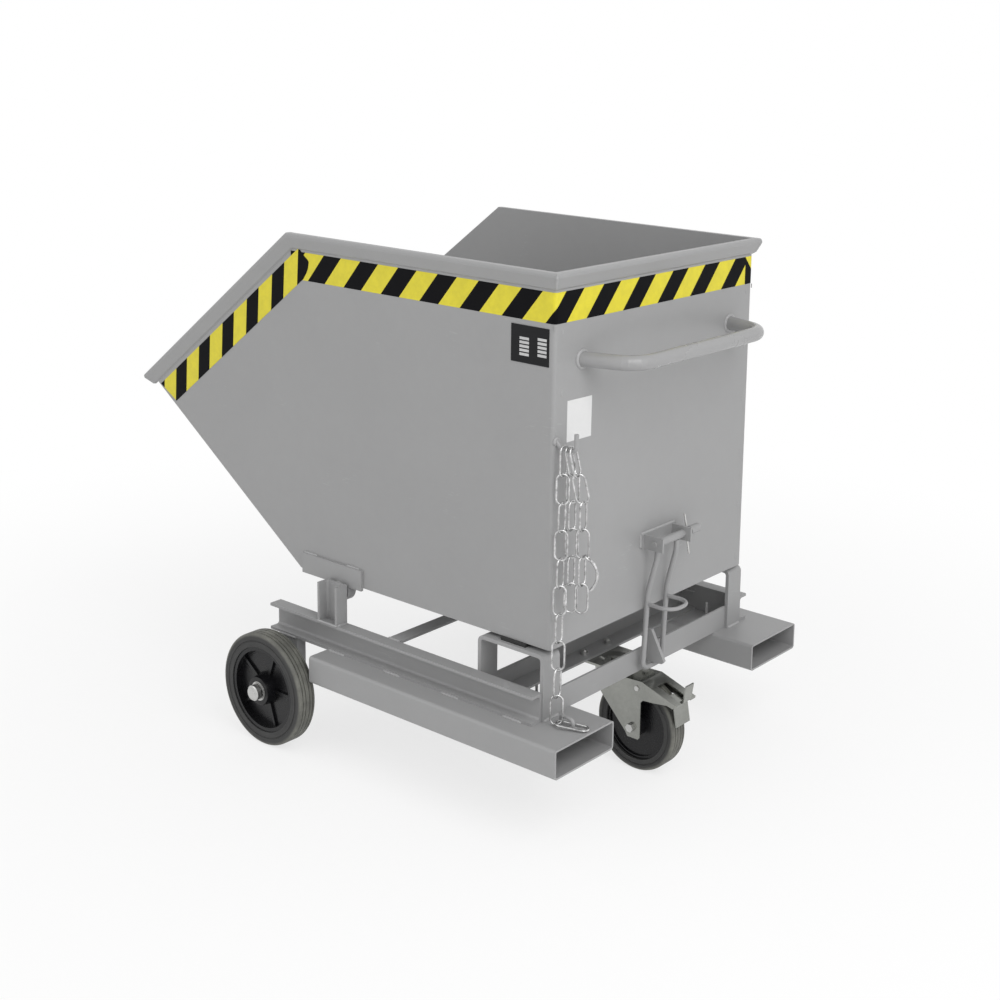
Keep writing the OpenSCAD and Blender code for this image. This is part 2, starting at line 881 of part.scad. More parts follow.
module rim_rear() {
    half = wall_y + 1;
    color(steel_grey) placed()
        difference() {
            translate([0, 0, rim_z])
                along_y(-wall_y - rim_out - 1, 2 * (wall_y + rim_out + 1))
                    polygon(rim_section(0));
            for (side = [-1, 1])
                on_side(side)
                    linear_extrude(far)
                        beside_wall_2d(0);
        }
}

// The pouring lip has the same fold, leaning back along the sloping panel.
module rim_lip() {
    color(steel_grey) placed()
        translate([-kink_x, 0, rim_z])
            rotate([0, -rim_angle, 0])
                mirror([1, 0, 0])
                    difference() {
                        translate([rim_run, 0, 0])
                            along_y(-wall_y - rim_out - 1, 2 * (wall_y + rim_out + 1))
                                polygon(rim_section(1 / tan(lip_angle)));
                        for (side = [-1, 1])
                            on_side(side)
                                translate([0, 0, -far / 2])
                                    linear_extrude(far)
                                        beside_wall_2d(rim_run);
                    }
}

// A stiffening plate on the side wall and the round-bottomed lug behind it.
module pivot_plate(side) {
    color(steel_grey) placed() on_side(side)
        difference() {
            union() {
                translate([-pivot_x - plate_front, wall_y, floor_z - plate_hang])
                    cube([plate_front + plate_rear, plate_t, plate_h]);
                along_y(wall_y - lug_t, lug_t + plate_t) {
                    translate([-pivot_x, pivot_z])
                        circle(lug_r);
                    translate([-pivot_x - lug_r, pivot_z])
                        square([2 * lug_r, floor_z - pivot_z]);
                }
            }
            translate([-pivot_x - lug_r - 1, wall_y - lug_t - 1, floor_z])
                cube([2 * lug_r + 2, lug_t + 1, lug_r]);
            translate([-pivot_x, 0, pivot_z])
                rotate([-90, 0, 0])
                    cylinder(h = far, d = pin_d + 2 * run_gap);
        }
}

// The handle is one tube: two legs that lean inwards, two bends and a straight bar.
module push_handle() {
    bar_x = handle_reach - handle_d / 2;
    corner_y = handle_foot_y - bar_x * tan(handle_lean);
    color(steel_grey) placed()
        rod([[0, handle_foot_y, handle_z], [bar_x, corner_y, handle_z],
             [bar_x, -corner_y, handle_z], [0, -handle_foot_y, handle_z]],
            handle_d, [0, handle_r, handle_r, 0], 32, handle_d - 2 * handle_t, [true, true]);
}

// The bracket on the rear wall: a web and two ears that hold the latch pin.
module latch_bracket() {
    color(steel_grey) placed()
        difference() {
            union() {
                translate([0, ear_y + 2.5 - ear_web / 2, latch_z - ear_h / 2])
                    cube([ear_t, ear_web, ear_h]);
                for (side = [-1, 1])
                    translate([0, ear_y + side * (ear_w - ear_t) / 2 - ear_t / 2,
                               latch_z - ear_h / 2])
                        cube([ear_l, ear_t, ear_h]);
            }
            translate([latch_x, -far / 2, latch_z])
                rotate([-90, 0, 0])
                    cylinder(h = far, d = latch_pin_d);
        }
}

// Sideways place of the split pin, just outside the far ear.
split_y = ear_y + ear_w / 2 + (pin_tail - pin_head_l) / 2;

module latch_pin() {
    y0 = ear_y - ear_w / 2 - 4;
    y1 = ear_y + ear_w / 2 + pin_tail;
    color(steel_grey) placed()
        difference() {
            translate([latch_x, 0, latch_z])
                rotate([-90, 0, 0]) {
                    translate([0, 0, y0])
                        cylinder(h = y1 - y0 - 1, d = latch_pin_d);
                    translate([0, 0, y1 - pin_head_l])
                        cylinder(h = pin_head_l, d = pin_head_d);
                }
            translate([latch_x, split_y, latch_z - far / 2])
                cylinder(h = far, d = split_d);
        }
}

// The split pin stands in the latch pin's tail; its ends splay below.
module split_pin() {
    color(steel_grey) placed()
        translate([latch_x, split_y, latch_z])
            rod([[-7, 0, split_l * 0.45], [0, 0, split_d * 2],
                 [0, 0, -split_d * 2], [8, 0, -split_l * 0.55]], split_d, [0, 10, 10, 0]);
}

// The hook on the rear wall that carries the chain.
hook_points = [[0, 9 - wall_y, 10], [12, 11 - wall_y, -3],
               [43, 16.17 - wall_y, -3], [43, 16.17 - wall_y, 30]];
hook_z = 776;

module chain_hook() {
    color(steel_grey) placed()
        translate([0, 0, hook_z])
            rod(hook_points, hook_d, [0, 7, 7, 0], at_wall = [true, false]);
}

// One link: two straight wires along Z and two half rings, in the X-Z plane.
module chain_link(l, w, d) {
    r = (w - d) / 2;
    straight = l - w;
    for (x = [-r, r])
        translate([x, 0, -straight / 2])
            cylinder(h = straight, d = d);
    for (flip = [0, 180])
        rotate([0, flip, 0])
            translate([0, 0, straight / 2])
                rotate([90, 0, 0])
                    rotate_extrude(angle = 180)
                        translate([r, 0])
                            circle(d = d);
}

link_pitch = link_l - 2 * link_d - link_play;
// Height at which a strand's first wire crosses the hook's rod.
hang_z = hook_z + hook_points[1][2] + (hook_d + link_play) / 2;
// Plan direction of every second link's flat, and the turn between neighbours.
flat_turn = 38;
link_turn = 60;

// A point on the hook's rod, at a distance from the wall.
function on_hook(x) =
    let (a = hook_points[1], b = hook_points[2], t = (x - a[0]) / (b[0] - a[0]))
    [x, a[1] + t * (b[1] - a[1]), hang_z];

// The joints of a strand that hangs straight between the hook and a point in plan.
function taut_joints(top, foot, n) =
    let (run = norm(foot - [top[0], top[1]]),
         full = n * link_pitch,
         end = [foot[0], foot[1], top[2] - sqrt(full * full - run * run)])
    [for (i = [0 : n]) top + (end - top) * i / n];

// The joints of a strand that leans for its first links and then hangs straight down.
function loose_joints(top, knee, leaning, n) =
    concat(taut_joints(top, knee, leaning),
           [for (i = [1 : n - leaning])
               taut_joints(top, knee, leaning)[leaning] - [0, 0, i * link_pitch]]);

// Plan position across and behind the long strand's top, seen square to the flat links.
function beside_drop(across, behind) =
    [drop_top[0] + across * cos(flat_turn) - behind * sin(flat_turn),
     drop_top[1] + across * sin(flat_turn) + behind * cos(flat_turn)];

module strand(joints) {
    for (i = [0 : len(joints) - 2]) {
        up = unit(joints[i] - joints[i + 1]);
        azimuth = atan2(up[1], up[0]);
        turn = flat_turn + (i % 2 == 0 ? link_turn : 0);
        translate((joints[i] + joints[i + 1]) / 2)
            rotate([0, acos(up[2]), azimuth])
                rotate([0, 0, turn - azimuth])
                    chain_link(link_l, link_w, link_d);
    }
}

drop_top = on_hook(16.5);
// Plan position of the long strand's lower end.
drop_foot = [27, -9 - wall_y];
drop_joints = taut_joints(drop_top, drop_foot, drop_links);

module chain_drop() {
    color(zinc_grey) placed()
        strand(drop_joints);
}

// An eye round a link's wire and a crescent of rod under it.
eye_r = 7;
crescent_r = 40.6;
crescent_d = 6;

module end_hook() {
    arc_r = (link_w - link_d) / 2;
    translate([0, 0, link_w / 2 - link_d - link_play / 2])
        rotate([0, 45, 0])
            translate([arc_r + eye_r - link_d - link_play, 0, 0])
                rotate_extrude()
                    translate([eye_r, 0])
                        circle(d = link_d);
    translate([-11.1, 6, -37.8])
        rotate([90, 0, 0])
            rotate([0, 0, -47])
                rotate_extrude(angle = 101)
                    translate([crescent_r, 0])
                        circle(d = crescent_d);
}

// Two shorter strands hang beside the long one, and the chain's end hook hangs from a link.
module chain_bundle() {
    beyond = loose_joints(on_hook(35), beside_drop(39, -3), 2, loop_links);
    color(zinc_grey) placed() {
        strand(loose_joints(on_hook(25.7), beside_drop(18, 3.5), 1, loop_links));
        strand(beyond);
        translate(beyond[4])
            rotate([0, 0, flat_turn])
                end_hook();
    }
}

// A bow of rod on the near fork pocket holds a long link, which the chain's last link holds.
bow_points = [[22.9, 10.2 - wall_y, 0], [22.9, 10.2 - wall_y, 17],
              [57.9, 5 - wall_y, 17], [57.9, 5 - wall_y, 0]];

module chain_bow() {
    color(steel_grey) placed()
        translate([0, 0, rail_z])
            rod(bow_points, bow_d, [0, 8, 8, 0]);
}

// Plan direction of the long link, and the angle from its tip at which the chain holds it.
anchor_turn = 25;
grip_turn = 10;

// The long link rests on the pocket at its far end and on the chain's last wire at its near end.
module chain_anchor_link() {
    r = (anchor_w - anchor_d) / 2;
    grip = [drop_joints[drop_links][0], drop_joints[drop_links][1],
            drop_joints[drop_links][2] + anchor_d / 2 + link_play];
    rest_z = rail_z + (link_play + anchor_d) / 2;
    reach = anchor_l - anchor_w + r + r * cos(grip_turn);
    color(zinc_grey) placed()
        translate(grip)
            rotate([0, 0, anchor_turn])
                rotate([0, asin((grip[2] - rest_z) / reach), 0])
                    translate([r * cos(grip_turn) + (anchor_l - anchor_w) / 2,
                               -r * sin(grip_turn), 0])
                        rotate([0, 90, 0])
                            rotate([0, 0, 90])
                                chain_link(anchor_l, anchor_w, anchor_d);
}

module rating_plate() {
    color([0.75, 0.75, 0.74]) placed()
        translate([-tag_x - tag_l, -wall_y - tag_t, rim_z - tag_drop - tag_h])
            cube([tag_l, tag_t, tag_h]);
}

// Latch

// The loop's side profile below the pin's axis, ending at its bottom corner.
loop_profile = [[0, 0], [-0.5, -32], [-21, -110], [-29.5, -282]];
loop_bends = [0, 40, 60, 18];

module latch_loop() {
    leg = concat([[0, loop_y, -sleeve_d / 2]], [for (i = [1 : 3]) let (p = loop_profile[i]) [p[0], loop_y, p[1]]]);
    other = [for (i = [len(leg) - 1 : -1 : 0]) [leg[i][0], -leg[i][1], leg[i][2]]];
    bends = concat(loop_bends, [for (i = [len(loop_bends) - 1 : -1 : 0]) loop_bends[i]]);
    color(steel_grey) placed()
        translate([latch_x, 0, latch_z])
            rod(concat(leg, other), rod_d, bends);
}

module latch_sleeve() {
    length = ear_w - 2 * ear_t - 2 * race_gap;
    color(steel_grey) placed()
        translate([latch_x, ear_y, latch_z])
            rotate([90, 0, 0])
                difference() {
                    cylinder(h = length, d = sleeve_d, center = true);
                    cylinder(h = length + 1, d = latch_pin_d + 2 * run_gap, center = true);
                }
}

// A bent rod welded to both legs of the loop, to pull it off the lug.
module pull_ring() {
    knee = loop_profile[2];
    foot = loop_profile[3];
    t = (-ring_drop - knee[1]) / (foot[1] - knee[1]);
    start = knee[0] + t * (foot[0] - knee[0]) + rod_d / 2;
    end = ring_reach - latch_x - ring_d / 2;
    color(steel_grey) placed()
        translate([latch_x, 0, latch_z])
            rod([[start, loop_y, -ring_drop], [end, ring_y, -ring_drop],
                 [end, -ring_y, -ring_drop], [start, -loop_y, -ring_drop]],
                ring_d, [0, ring_r, ring_r, 0]);
}

// Wheels

// The tyre's half section: tread with two grooves a side, a step and a ring in the sidewall.
module tyre_2d(d, w, inner) {
    difference() {
        translate([inner / 2, 0])
            square([d / 2 - inner / 2 - 6, w / 2]);
        translate([inner / 2 + (d - inner) * 0.22, w / 2])
            circle(1.6);
    }
    translate([d / 2 - 6, 0])
        square([6, w / 2 - 6]);
    translate([d / 2 - 6, w / 2 - 6])
        circle(6);
}

module tyre_solid(d, w, inner) {
    grooves = [w * 0.12, w * 0.3];
    difference() {
        rotate_extrude()
            for (flip = [0, 1])
                mirror([0, flip])
                    tyre_2d(d, w, inner);
        for (y = grooves, s = [-1, 1])
            translate([0, 0, s * y - 0.8])
                difference() {
                    cylinder(h = 1.6, d = d + 2);
                    translate([0, 0, -1])
                        cylinder(h = 3.6, d = d - 5);
                }
    }
}

module tyre(side) {
    color(rubber_black) placed() on_side(side)
        translate([-wheel_x, wheel_y, wheel_z])
            rotate([-90, 0, 0])
                tyre_solid(wheel_d, tyre_w, rim_d);
}

// The plastic wheel: a rim, a thin disc with spokes on both faces and a tapered hub.
module wheel(side) {
    color(plastic_black) placed() on_side(side)
        translate([-wheel_x, wheel_y, wheel_z])
            rotate([-90, 0, 0])
                difference() {
                    union() {
                        difference() {
                            cylinder(h = tyre_w - 4, d = rim_d, center = true);
                            cylinder(h = tyre_w, d = rim_d - 2 * rim_wall, center = true);
                        }
                        cylinder(h = disc_t, d = rim_d - rim_wall, center = true);
                        for (flip = [0, 180])
                            rotate([flip, 0, 0])
                                cylinder(h = hub_l / 2, d1 = hub_d, d2 = hub_end_d);
                        for (a = [0 : 360 / spokes : 359])
                            rotate(a)
                                translate([hub_end_d / 2 - spoke_t, -spoke_t / 2, -spoke_w / 2])
                                    cube([(rim_d - rim_wall - hub_end_d) / 2 + spoke_t, spoke_t,
                                          spoke_w]);
                    }
                    cylinder(h = hub_l + 2, d = axle_d + 4, center = true);
                    for (s = [-1, 1])
                        translate([0, 0, s * (hub_l - bearing_w) / 2])
                            cylinder(h = bearing_w + 2 * eps, d = bearing_d, center = true);
                }
}

module bearings(side) {
    color(zinc_grey) placed() on_side(side)
        translate([-wheel_x, wheel_y, wheel_z])
            rotate([-90, 0, 0])
                for (s = [-1, 1])
                    translate([0, 0, s * (hub_l - bearing_w) / 2])
                        difference() {
                            cylinder(h = bearing_w, d = bearing_d, center = true);
                            cylinder(h = bearing_w + 1, d = axle_d + 2 * run_gap, center = true);
                        }
}

// Castor

// The fork's upper edge runs from the crown over the arm to its tip.
arm_tip = [arm_reach, -25.7];
arm_top = [99, 3.3];

// The hood leaves the crown just inside the crown's edge.
hood_front = sqrt(pow(head_d / 2, 2) - pow(fork_w / 2, 2)) - 1;

// The cheek's outline, with the swivel axis at x = 0 and the crown at z = 0.
module cheek_2d() {
    axle = [trail, castor_z - crown_z];
    front = hood_front;
    polygon([
        [-front, 0],
        [-front, -15],
        [-8.5, -48],
        axle + leg_half * [-0.65, -0.6],
        axle + leg_half * [-0.4, -1],
        axle + leg_half * [0.8, -1],
        axle + leg_half * [1, -0.75],
        [axle.x + leg_half, -43],
        [axle.x + leg_half + 6, -37],
        [130, -35],
        arm_tip + [-4, -2],
        arm_tip,
        arm_top,
        [front, 0]
    ]);
}

module castor_fork() {
    slot_x = 125;
    color(zinc_grey) placed()
        translate([-swivel_x, 0, crown_z])
            difference() {
                union() {
                    for (s = [-1, 1])
                        along_y(s * (fork_w - fork_t) / 2 - fork_t / 2, fork_t)
                            cheek_2d();
                    // The crown and the hood join the two cheeks.
                    difference() {
                        union() {
                            translate([0, 0, -fork_t])
                                cylinder(h = fork_t, d = head_d);
                            along_y(-fork_w / 2 + fork_t, fork_w - 2 * fork_t)
                                polygon([[0, 0], [hood_front, 0], arm_top, arm_tip,
                                         arm_tip - [0, fork_t], arm_top - [0, fork_t + 0.4],
                                         [hood_front, -fork_t], [0, -fork_t]]);
                        }
                        translate([slot_x, -slot_w / 2, -far / 20])
                            cube([far / 20, slot_w, far / 10]);
                    }
                    // The lower race.
                    cylinder(h = head_h / 2, d1 = head_d, d2 = head_d - 6);
                }
                translate([0, 0, -fork_t - 1])
                    cylinder(h = head_h + fork_t, d = king_d + 2 * run_gap);
                translate([trail, -fork_w, castor_z - crown_z])
                    rotate([-90, 0, 0])
                        cylinder(h = 2 * fork_w, d = castor_axle_d);
                translate([rivet_x, -fork_w, -rivet_drop])
                    rotate([-90, 0, 0])
                        cylinder(h = 2 * fork_w, d = rivet_d);
            }
}

// The axle bolt with its head and nut, and the brake's two rivets.
module castor_axle() {
    color(zinc_grey) placed() {
        translate([castor_x, 0, castor_z])
            rotate([90, 0, 0]) {
                cylinder(h = fork_w + 2 * nut_h, d = castor_axle_d, center = true);
                for (s = [-1, 1])
                    translate([0, 0, s * (fork_w + nut_h) / 2])
                        cylinder(h = nut_h, d = castor_nut_s, center = true, $fn = 6);
            }
        translate([-swivel_x + rivet_x, 0, crown_z - rivet_drop])
            for (side = [-1, 1])
                on_side(side)
                    rotate([-90, 0, 0]) {
                        translate([0, 0, brake_w / 2 - brake_t])
                            cylinder(h = (fork_w - brake_w) / 2 + brake_t + 1, d = rivet_d);
                        translate([0, 0, fork_w / 2])
                            cylinder(h = 2, d = rivet_d + 3);
                    }
    }
}

module castor_tyre() {
    color(rubber_black) placed()
        translate([castor_x, 0, castor_z])
            rotate([-90, 0, 0])
                tyre_solid(castor_d, castor_w, castor_d * 0.76);
}

module castor_core() {
    core_d = castor_d * 0.76;
    hub_w = fork_w - 2 * fork_t - 2 * race_gap;
    color(plastic_black) placed()
        translate([castor_x, 0, castor_z])
            rotate([-90, 0, 0])
                difference() {
                    union() {
                        cylinder(h = castor_w - 10, d = core_d, center = true);
                        cylinder(h = hub_w, d1 = 46, d2 = 46, center = true);
                    }
                    for (s = [0, 180])
                        rotate([s, 0, 0])
                            translate([0, 0, castor_w / 2 - 9])
                                difference() {
                                    cylinder(h = castor_w, d = core_d - 12);
                                    translate([0, 0, -1])
                                        cylinder(h = castor_w + 2, d = 46);
                                }
                    cylinder(h = hub_w + 2, d = castor_axle_d + 2 * run_gap, center = true);
                }
}

// A strip of the given thickness along a line of points, mitred at each bend.
function strip_side(line, t) =
    let (last = len(line) - 1)
    [for (i = [0 : last])
        let (into = unit(i == 0 ? line[1] - line[0] : line[i] - line[i - 1]),
             out = unit(i == last ? line[last] - line[last - 1] : line[i + 1] - line[i]),
             n1 = [-into[1], into[0]],
             n2 = [-out[1], out[0]],
             mid = unit(n1 + n2))
        line[i] + t / (mid * n1) * mid];

function strip(line, t) =
    let (left = strip_side(line, t / 2), right = strip_side(line, -t / 2))
    concat(left, [for (i = [len(right) - 1 : -1 : 0]) right[i]]);

// The pedal's plate lies under the fork's arm, passes through its slot and turns up at its end.
lever_line = [[64, -8], [88, -17], [103, -9], [109, 27.5]];

// Two side arms beside the tyre carry the plate from the rivets on the cheeks.
module brake_pedal() {
    color(zinc_grey) placed()
        translate([-swivel_x + rivet_x, 0, crown_z - rivet_drop])
            difference() {
                union() {
                    along_y(-pedal_w / 2, pedal_w)
                        polygon(strip(lever_line, brake_t));
                    along_y(-brake_w / 2, brake_w)
                        polygon(strip([lever_line[0], lever_line[1]], brake_t));
                    for (side = [-1, 1])
                        on_side(side)
                            along_y(brake_w / 2 - brake_t, brake_t) {
                                polygon([[0, rivet_d], lever_line[0] + [0, brake_t / 2],
                                         lever_line[1] + [0, brake_t / 2], lever_line[1] - [0, 6],
                                         lever_line[0] - [0, 9], [0, -rivet_d]]);
                                circle(rivet_d);
                            }
                }
                rotate([90, 0, 0])
                    cylinder(h = far, d = rivet_d + 2 * run_gap, center = true);
            }
}

// The shoe is riveted under the pedal's plate by a flat tab and hangs behind the tyre.
module brake_shoe() {
    a = lever_line[0];
    b = lever_line[1];
    along = unit(b - a);
    under = brake_t * [along[1], -along[0]];
    tab = [a + 0.3 * (b - a) + under, b + under];
    color(zinc_grey) placed()
        translate([-swivel_x + rivet_x, 0, crown_z - rivet_drop])
            along_y(-shoe_w / 2, shoe_w)
                polygon(strip(concat(tab, [[91, -42], [95, -64]]), brake_t));
}

rail(-1);  // rail_left
rail(1);  // rail_right
fork_pocket(-1);  // fork_pocket_left
fork_pocket(1);  // fork_pocket_right
front_post(-1);  // front_post_left
front_post(1);  // front_post_right
rear_portal(-1);  // rear_portal_left
rear_portal(1);  // rear_portal_right
rest_pad(-1);  // rest_pad_left
rest_pad(1);  // rest_pad_right
castor_angle_front();
castor_angle_rear();
front_cross_bar();
wheel_bracket(-1);  // wheel_bracket_left
wheel_bracket(1);  // wheel_bracket_right
front_axle(-1);  // front_axle_left
front_axle(1);  // front_axle_right
latch_catch();
pivot_pin(-1);  // pivot_pin_left
pivot_pin(1);  // pivot_pin_right
castor_top_plate();
castor_bolts();
castor_kingpin();
chain_bow();
chain_anchor_link();
side_panel(-1);  // side_panel_left
side_panel(1);  // side_panel_right
rear_panel();
floor_panel();
slope_panel();
rim_side(-1);  // rim_left
rim_side(1);  // rim_right
rim_rear();
rim_lip();
pivot_plate(-1);  // pivot_plate_left
pivot_plate(1);  // pivot_plate_right
push_handle();
latch_bracket();
latch_pin();
split_pin();
chain_hook();
chain_drop();
chain_bundle();
rating_plate();
latch_loop();
latch_sleeve();
pull_ring();
tyre(-1);  // tyre_left
wheel(-1);  // wheel_left
bearings(-1);  // bearings_left
tyre(1);  // tyre_right
wheel(1);  // wheel_right
bearings(1);  // bearings_right
castor_fork();
castor_axle();
castor_tyre();
castor_core();
brake_pedal();
brake_shoe();
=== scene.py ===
"""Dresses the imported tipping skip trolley: paint, hazard tape, welds, rubber, zinc and a studio."""
import json
import math

import bpy
import numpy as np
from mathutils import Matrix, Vector


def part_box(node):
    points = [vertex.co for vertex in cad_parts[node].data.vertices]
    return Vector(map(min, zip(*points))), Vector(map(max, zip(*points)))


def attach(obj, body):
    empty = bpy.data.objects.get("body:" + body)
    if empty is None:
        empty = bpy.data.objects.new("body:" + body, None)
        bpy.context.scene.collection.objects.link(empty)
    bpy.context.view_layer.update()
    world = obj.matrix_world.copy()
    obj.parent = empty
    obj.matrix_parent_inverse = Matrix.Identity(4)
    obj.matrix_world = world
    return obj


bl_info = {
    "name": "Tipping Skip Trolley",
    "version": (1, 0, 0),
    "blender": (4, 5, 0),
    "location": "View3D > Sidebar > Skip Trolley",
    "description": "Dresses a tipping skip trolley with paint, hazard tape, welds, rubber and zinc",
    "category": "Object",
}

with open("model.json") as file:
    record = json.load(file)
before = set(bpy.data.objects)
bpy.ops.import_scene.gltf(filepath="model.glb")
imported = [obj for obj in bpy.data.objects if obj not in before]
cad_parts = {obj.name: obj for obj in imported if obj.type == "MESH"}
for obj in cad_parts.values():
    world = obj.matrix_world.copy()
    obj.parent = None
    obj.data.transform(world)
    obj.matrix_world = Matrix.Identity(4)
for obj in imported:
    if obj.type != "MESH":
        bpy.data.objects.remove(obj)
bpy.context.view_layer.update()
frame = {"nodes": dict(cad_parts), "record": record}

# Every place below is in millimetres from the outer face of the skip's rear wall.
WALL_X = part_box("rear_panel")[1].x
MM = 0.001


def place(points):
    """Points in millimetres from the rear wall's face, as an array in metres in the model's frame."""
    return np.asarray(points, float) * MM + np.array([WALL_X, 0.0, 0.0])


# Settings


class SkipFinishSettings(bpy.types.PropertyGroup):
    """Colours and gloss of the trolley's finishes."""

    paint: bpy.props.FloatVectorProperty(
        name="Paint", description="Colour of the sheet steel's paint",
        subtype="COLOR", size=3, min=0, max=1, default=(0.315, 0.315, 0.317))
    paint_gloss: bpy.props.FloatProperty(
        name="Paint Roughness", description="Roughness of the paint, 0 is a mirror",
        subtype="FACTOR", min=0, max=1, default=0.42)
    tape_yellow: bpy.props.FloatVectorProperty(
        name="Tape Yellow", description="Yellow of the hazard tape",
        subtype="COLOR", size=3, min=0, max=1, default=(0.70, 0.61, 0.025))
    tape_black: bpy.props.FloatVectorProperty(
        name="Tape Black", description="Black of the hazard tape",
        subtype="COLOR", size=3, min=0, max=1, default=(0.004, 0.004, 0.005))
    zinc: bpy.props.FloatVectorProperty(
        name="Zinc", description="Colour of the plated castor and bolts",
        subtype="COLOR", size=3, min=0, max=1, default=(0.30, 0.305, 0.285))
    rubber: bpy.props.FloatVectorProperty(
        name="Rubber", description="Colour of the tyres",
        subtype="COLOR", size=3, min=0, max=1, default=(0.026, 0.026, 0.026))


class SkipSizeSettings(bpy.types.PropertyGroup):
    """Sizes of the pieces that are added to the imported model."""

    tape_width: bpy.props.FloatProperty(
        name="Tape Width", description="Width of the hazard tape",
        unit="LENGTH", subtype="DISTANCE", min=0.03, max=0.08, default=0.060)
    stripe_pitch: bpy.props.FloatProperty(
        name="Stripe Pitch", description="Distance from one black stripe to the next along the tape",
        unit="LENGTH", subtype="DISTANCE", min=0.05, max=0.2, default=0.1093)
    stripe_share: bpy.props.FloatProperty(
        name="Black Share", description="Share of the tape's length that is black",
        subtype="FACTOR", min=0.1, max=0.9, default=0.476)
    weld_size: bpy.props.FloatProperty(
        name="Weld Size", description="Radius of the weld beads",
        unit="LENGTH", subtype="DISTANCE", min=0.001, max=0.008, default=0.0034)
    ripple_pitch: bpy.props.FloatProperty(
        name="Weld Ripple", description="Distance between the ripples of a weld bead",
        unit="LENGTH", subtype="DISTANCE", min=0.001, max=0.01, default=0.0032)


class SkipStageSettings(bpy.types.PropertyGroup):
    """Lights and floor of the studio."""

    sky: bpy.props.FloatProperty(
        name="Sky", description="Strength of the even light from all round",
        min=0, max=3, default=0.66)
    key: bpy.props.FloatProperty(
        name="Key", description="Power of the large lamp over the camera's right shoulder, in watts",
        min=0, max=2000, default=70)
    fill: bpy.props.FloatProperty(
        name="Fill", description="Power of the large lamp on the left, in watts",
        min=0, max=2000, default=22)
    low: bpy.props.FloatProperty(
        name="Low", description="Power of the low lamp behind the trolley, in watts",
        min=0, max=2000, default=7)


def finishes():
    return bpy.context.scene.skip_finishes


def sizes():
    return bpy.context.scene.skip_sizes


def stage_settings():
    return bpy.context.scene.skip_stage


# Making meshes


def make_piece(name, points, faces, material, body, smooth=True, uv=None):
    """A mesh object at the origin from whole arrays of points and faces, riding on a CAD body."""
    mesh = bpy.data.meshes.new(name)
    mesh.from_pydata(np.asarray(points).tolist(), [], np.asarray(faces).tolist())
    mesh.materials.append(material)
    mesh.polygons.foreach_set("use_smooth", np.full(len(mesh.polygons), smooth))
    if uv is not None:
        layer = mesh.uv_layers.new(name="Lay")
        corner = np.empty(len(mesh.loops), np.int32)
        mesh.loops.foreach_get("vertex_index", corner)
        layer.data.foreach_set("uv", np.asarray(uv, np.float32)[corner].ravel())
    mesh.update()
    piece = bpy.data.objects.new(name, mesh)
    bpy.context.scene.collection.objects.link(piece)
    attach(piece, body)
    return piece


def grid_faces(rows, columns, wrap_columns=False):
    """Quads of a grid of rows by columns: each joins a point to the next in its row and column."""
    wide = columns if wrap_columns else columns - 1
    r, c = np.meshgrid(np.arange(rows - 1), np.arange(wide), indexing="ij")
    here = (r * columns + c).ravel()
    beside = (r * columns + (c + 1) % columns).ravel()
    return np.stack([here, beside, beside + columns, here + columns], axis=1)


def join_meshes(parts):
    """Stacks (points, faces) pairs into one pair, shifting each pair's face numbers."""
    counts = np.cumsum([0] + [len(points) for points, _ in parts])
    points = np.concatenate([points for points, _ in parts])
    faces = np.concatenate([faces + start for (_, faces), start in zip(parts, counts)])
    return points, faces


def resample(points, step):
    """Points every step along a polyline, by linear interpolation over its running length."""
    points = np.asarray(points, float)
    run = np.concatenate([[0], np.cumsum(np.linalg.norm(np.diff(points, axis=0), axis=1))])
    count = max(3, int(round(run[-1] / step)) + 1)
    at = np.linspace(0, run[-1], count)
    return np.stack([np.interp(at, run, points[:, k]) for k in range(3)], axis=1), at


def tube(path, radius, up, closed=False, sides=8):
    """A round skin about a path: point i, k lies at path i plus radius i times a unit circle.

    The circle stands square to the path. Its zero angle points along up, made square to the path.
    A closed path's last ring joins its first. An open one has a lid of quads at each end: lid
    quad i joins the ring's points i and i + 1 to the two across from them.
    """
    path = np.asarray(path, float)
    if closed:
        along = np.roll(path, -1, axis=0) - np.roll(path, 1, axis=0)
    else:
        along = np.gradient(path, axis=0)
    along /= np.linalg.norm(along, axis=1)[:, None]
    up = np.broadcast_to(np.asarray(up, float), path.shape)
    first = up - (up * along).sum(axis=1)[:, None] * along
    first /= np.linalg.norm(first, axis=1)[:, None]
    second = np.cross(along, first)
    angle = np.linspace(0, 2 * np.pi, sides, endpoint=False)
    ring = (np.cos(angle)[None, :, None] * first[:, None, :]
            + np.sin(angle)[None, :, None] * second[:, None, :])
    points = (path[:, None, :] + np.asarray(radius)[:, None, None] * ring).reshape(-1, 3)
    rows = len(path)
    if closed:
        return points, grid_faces(rows + 1, sides, wrap_columns=True) % len(points)
    i = np.arange(sides // 2 - 1)
    lid = np.stack([i, i + 1, sides - 2 - i, sides - 1 - i], axis=1)
    skin = grid_faces(rows, sides, wrap_columns=True)
    return points, np.concatenate([lid[:, ::-1], skin, lid + (rows - 1) * sides])


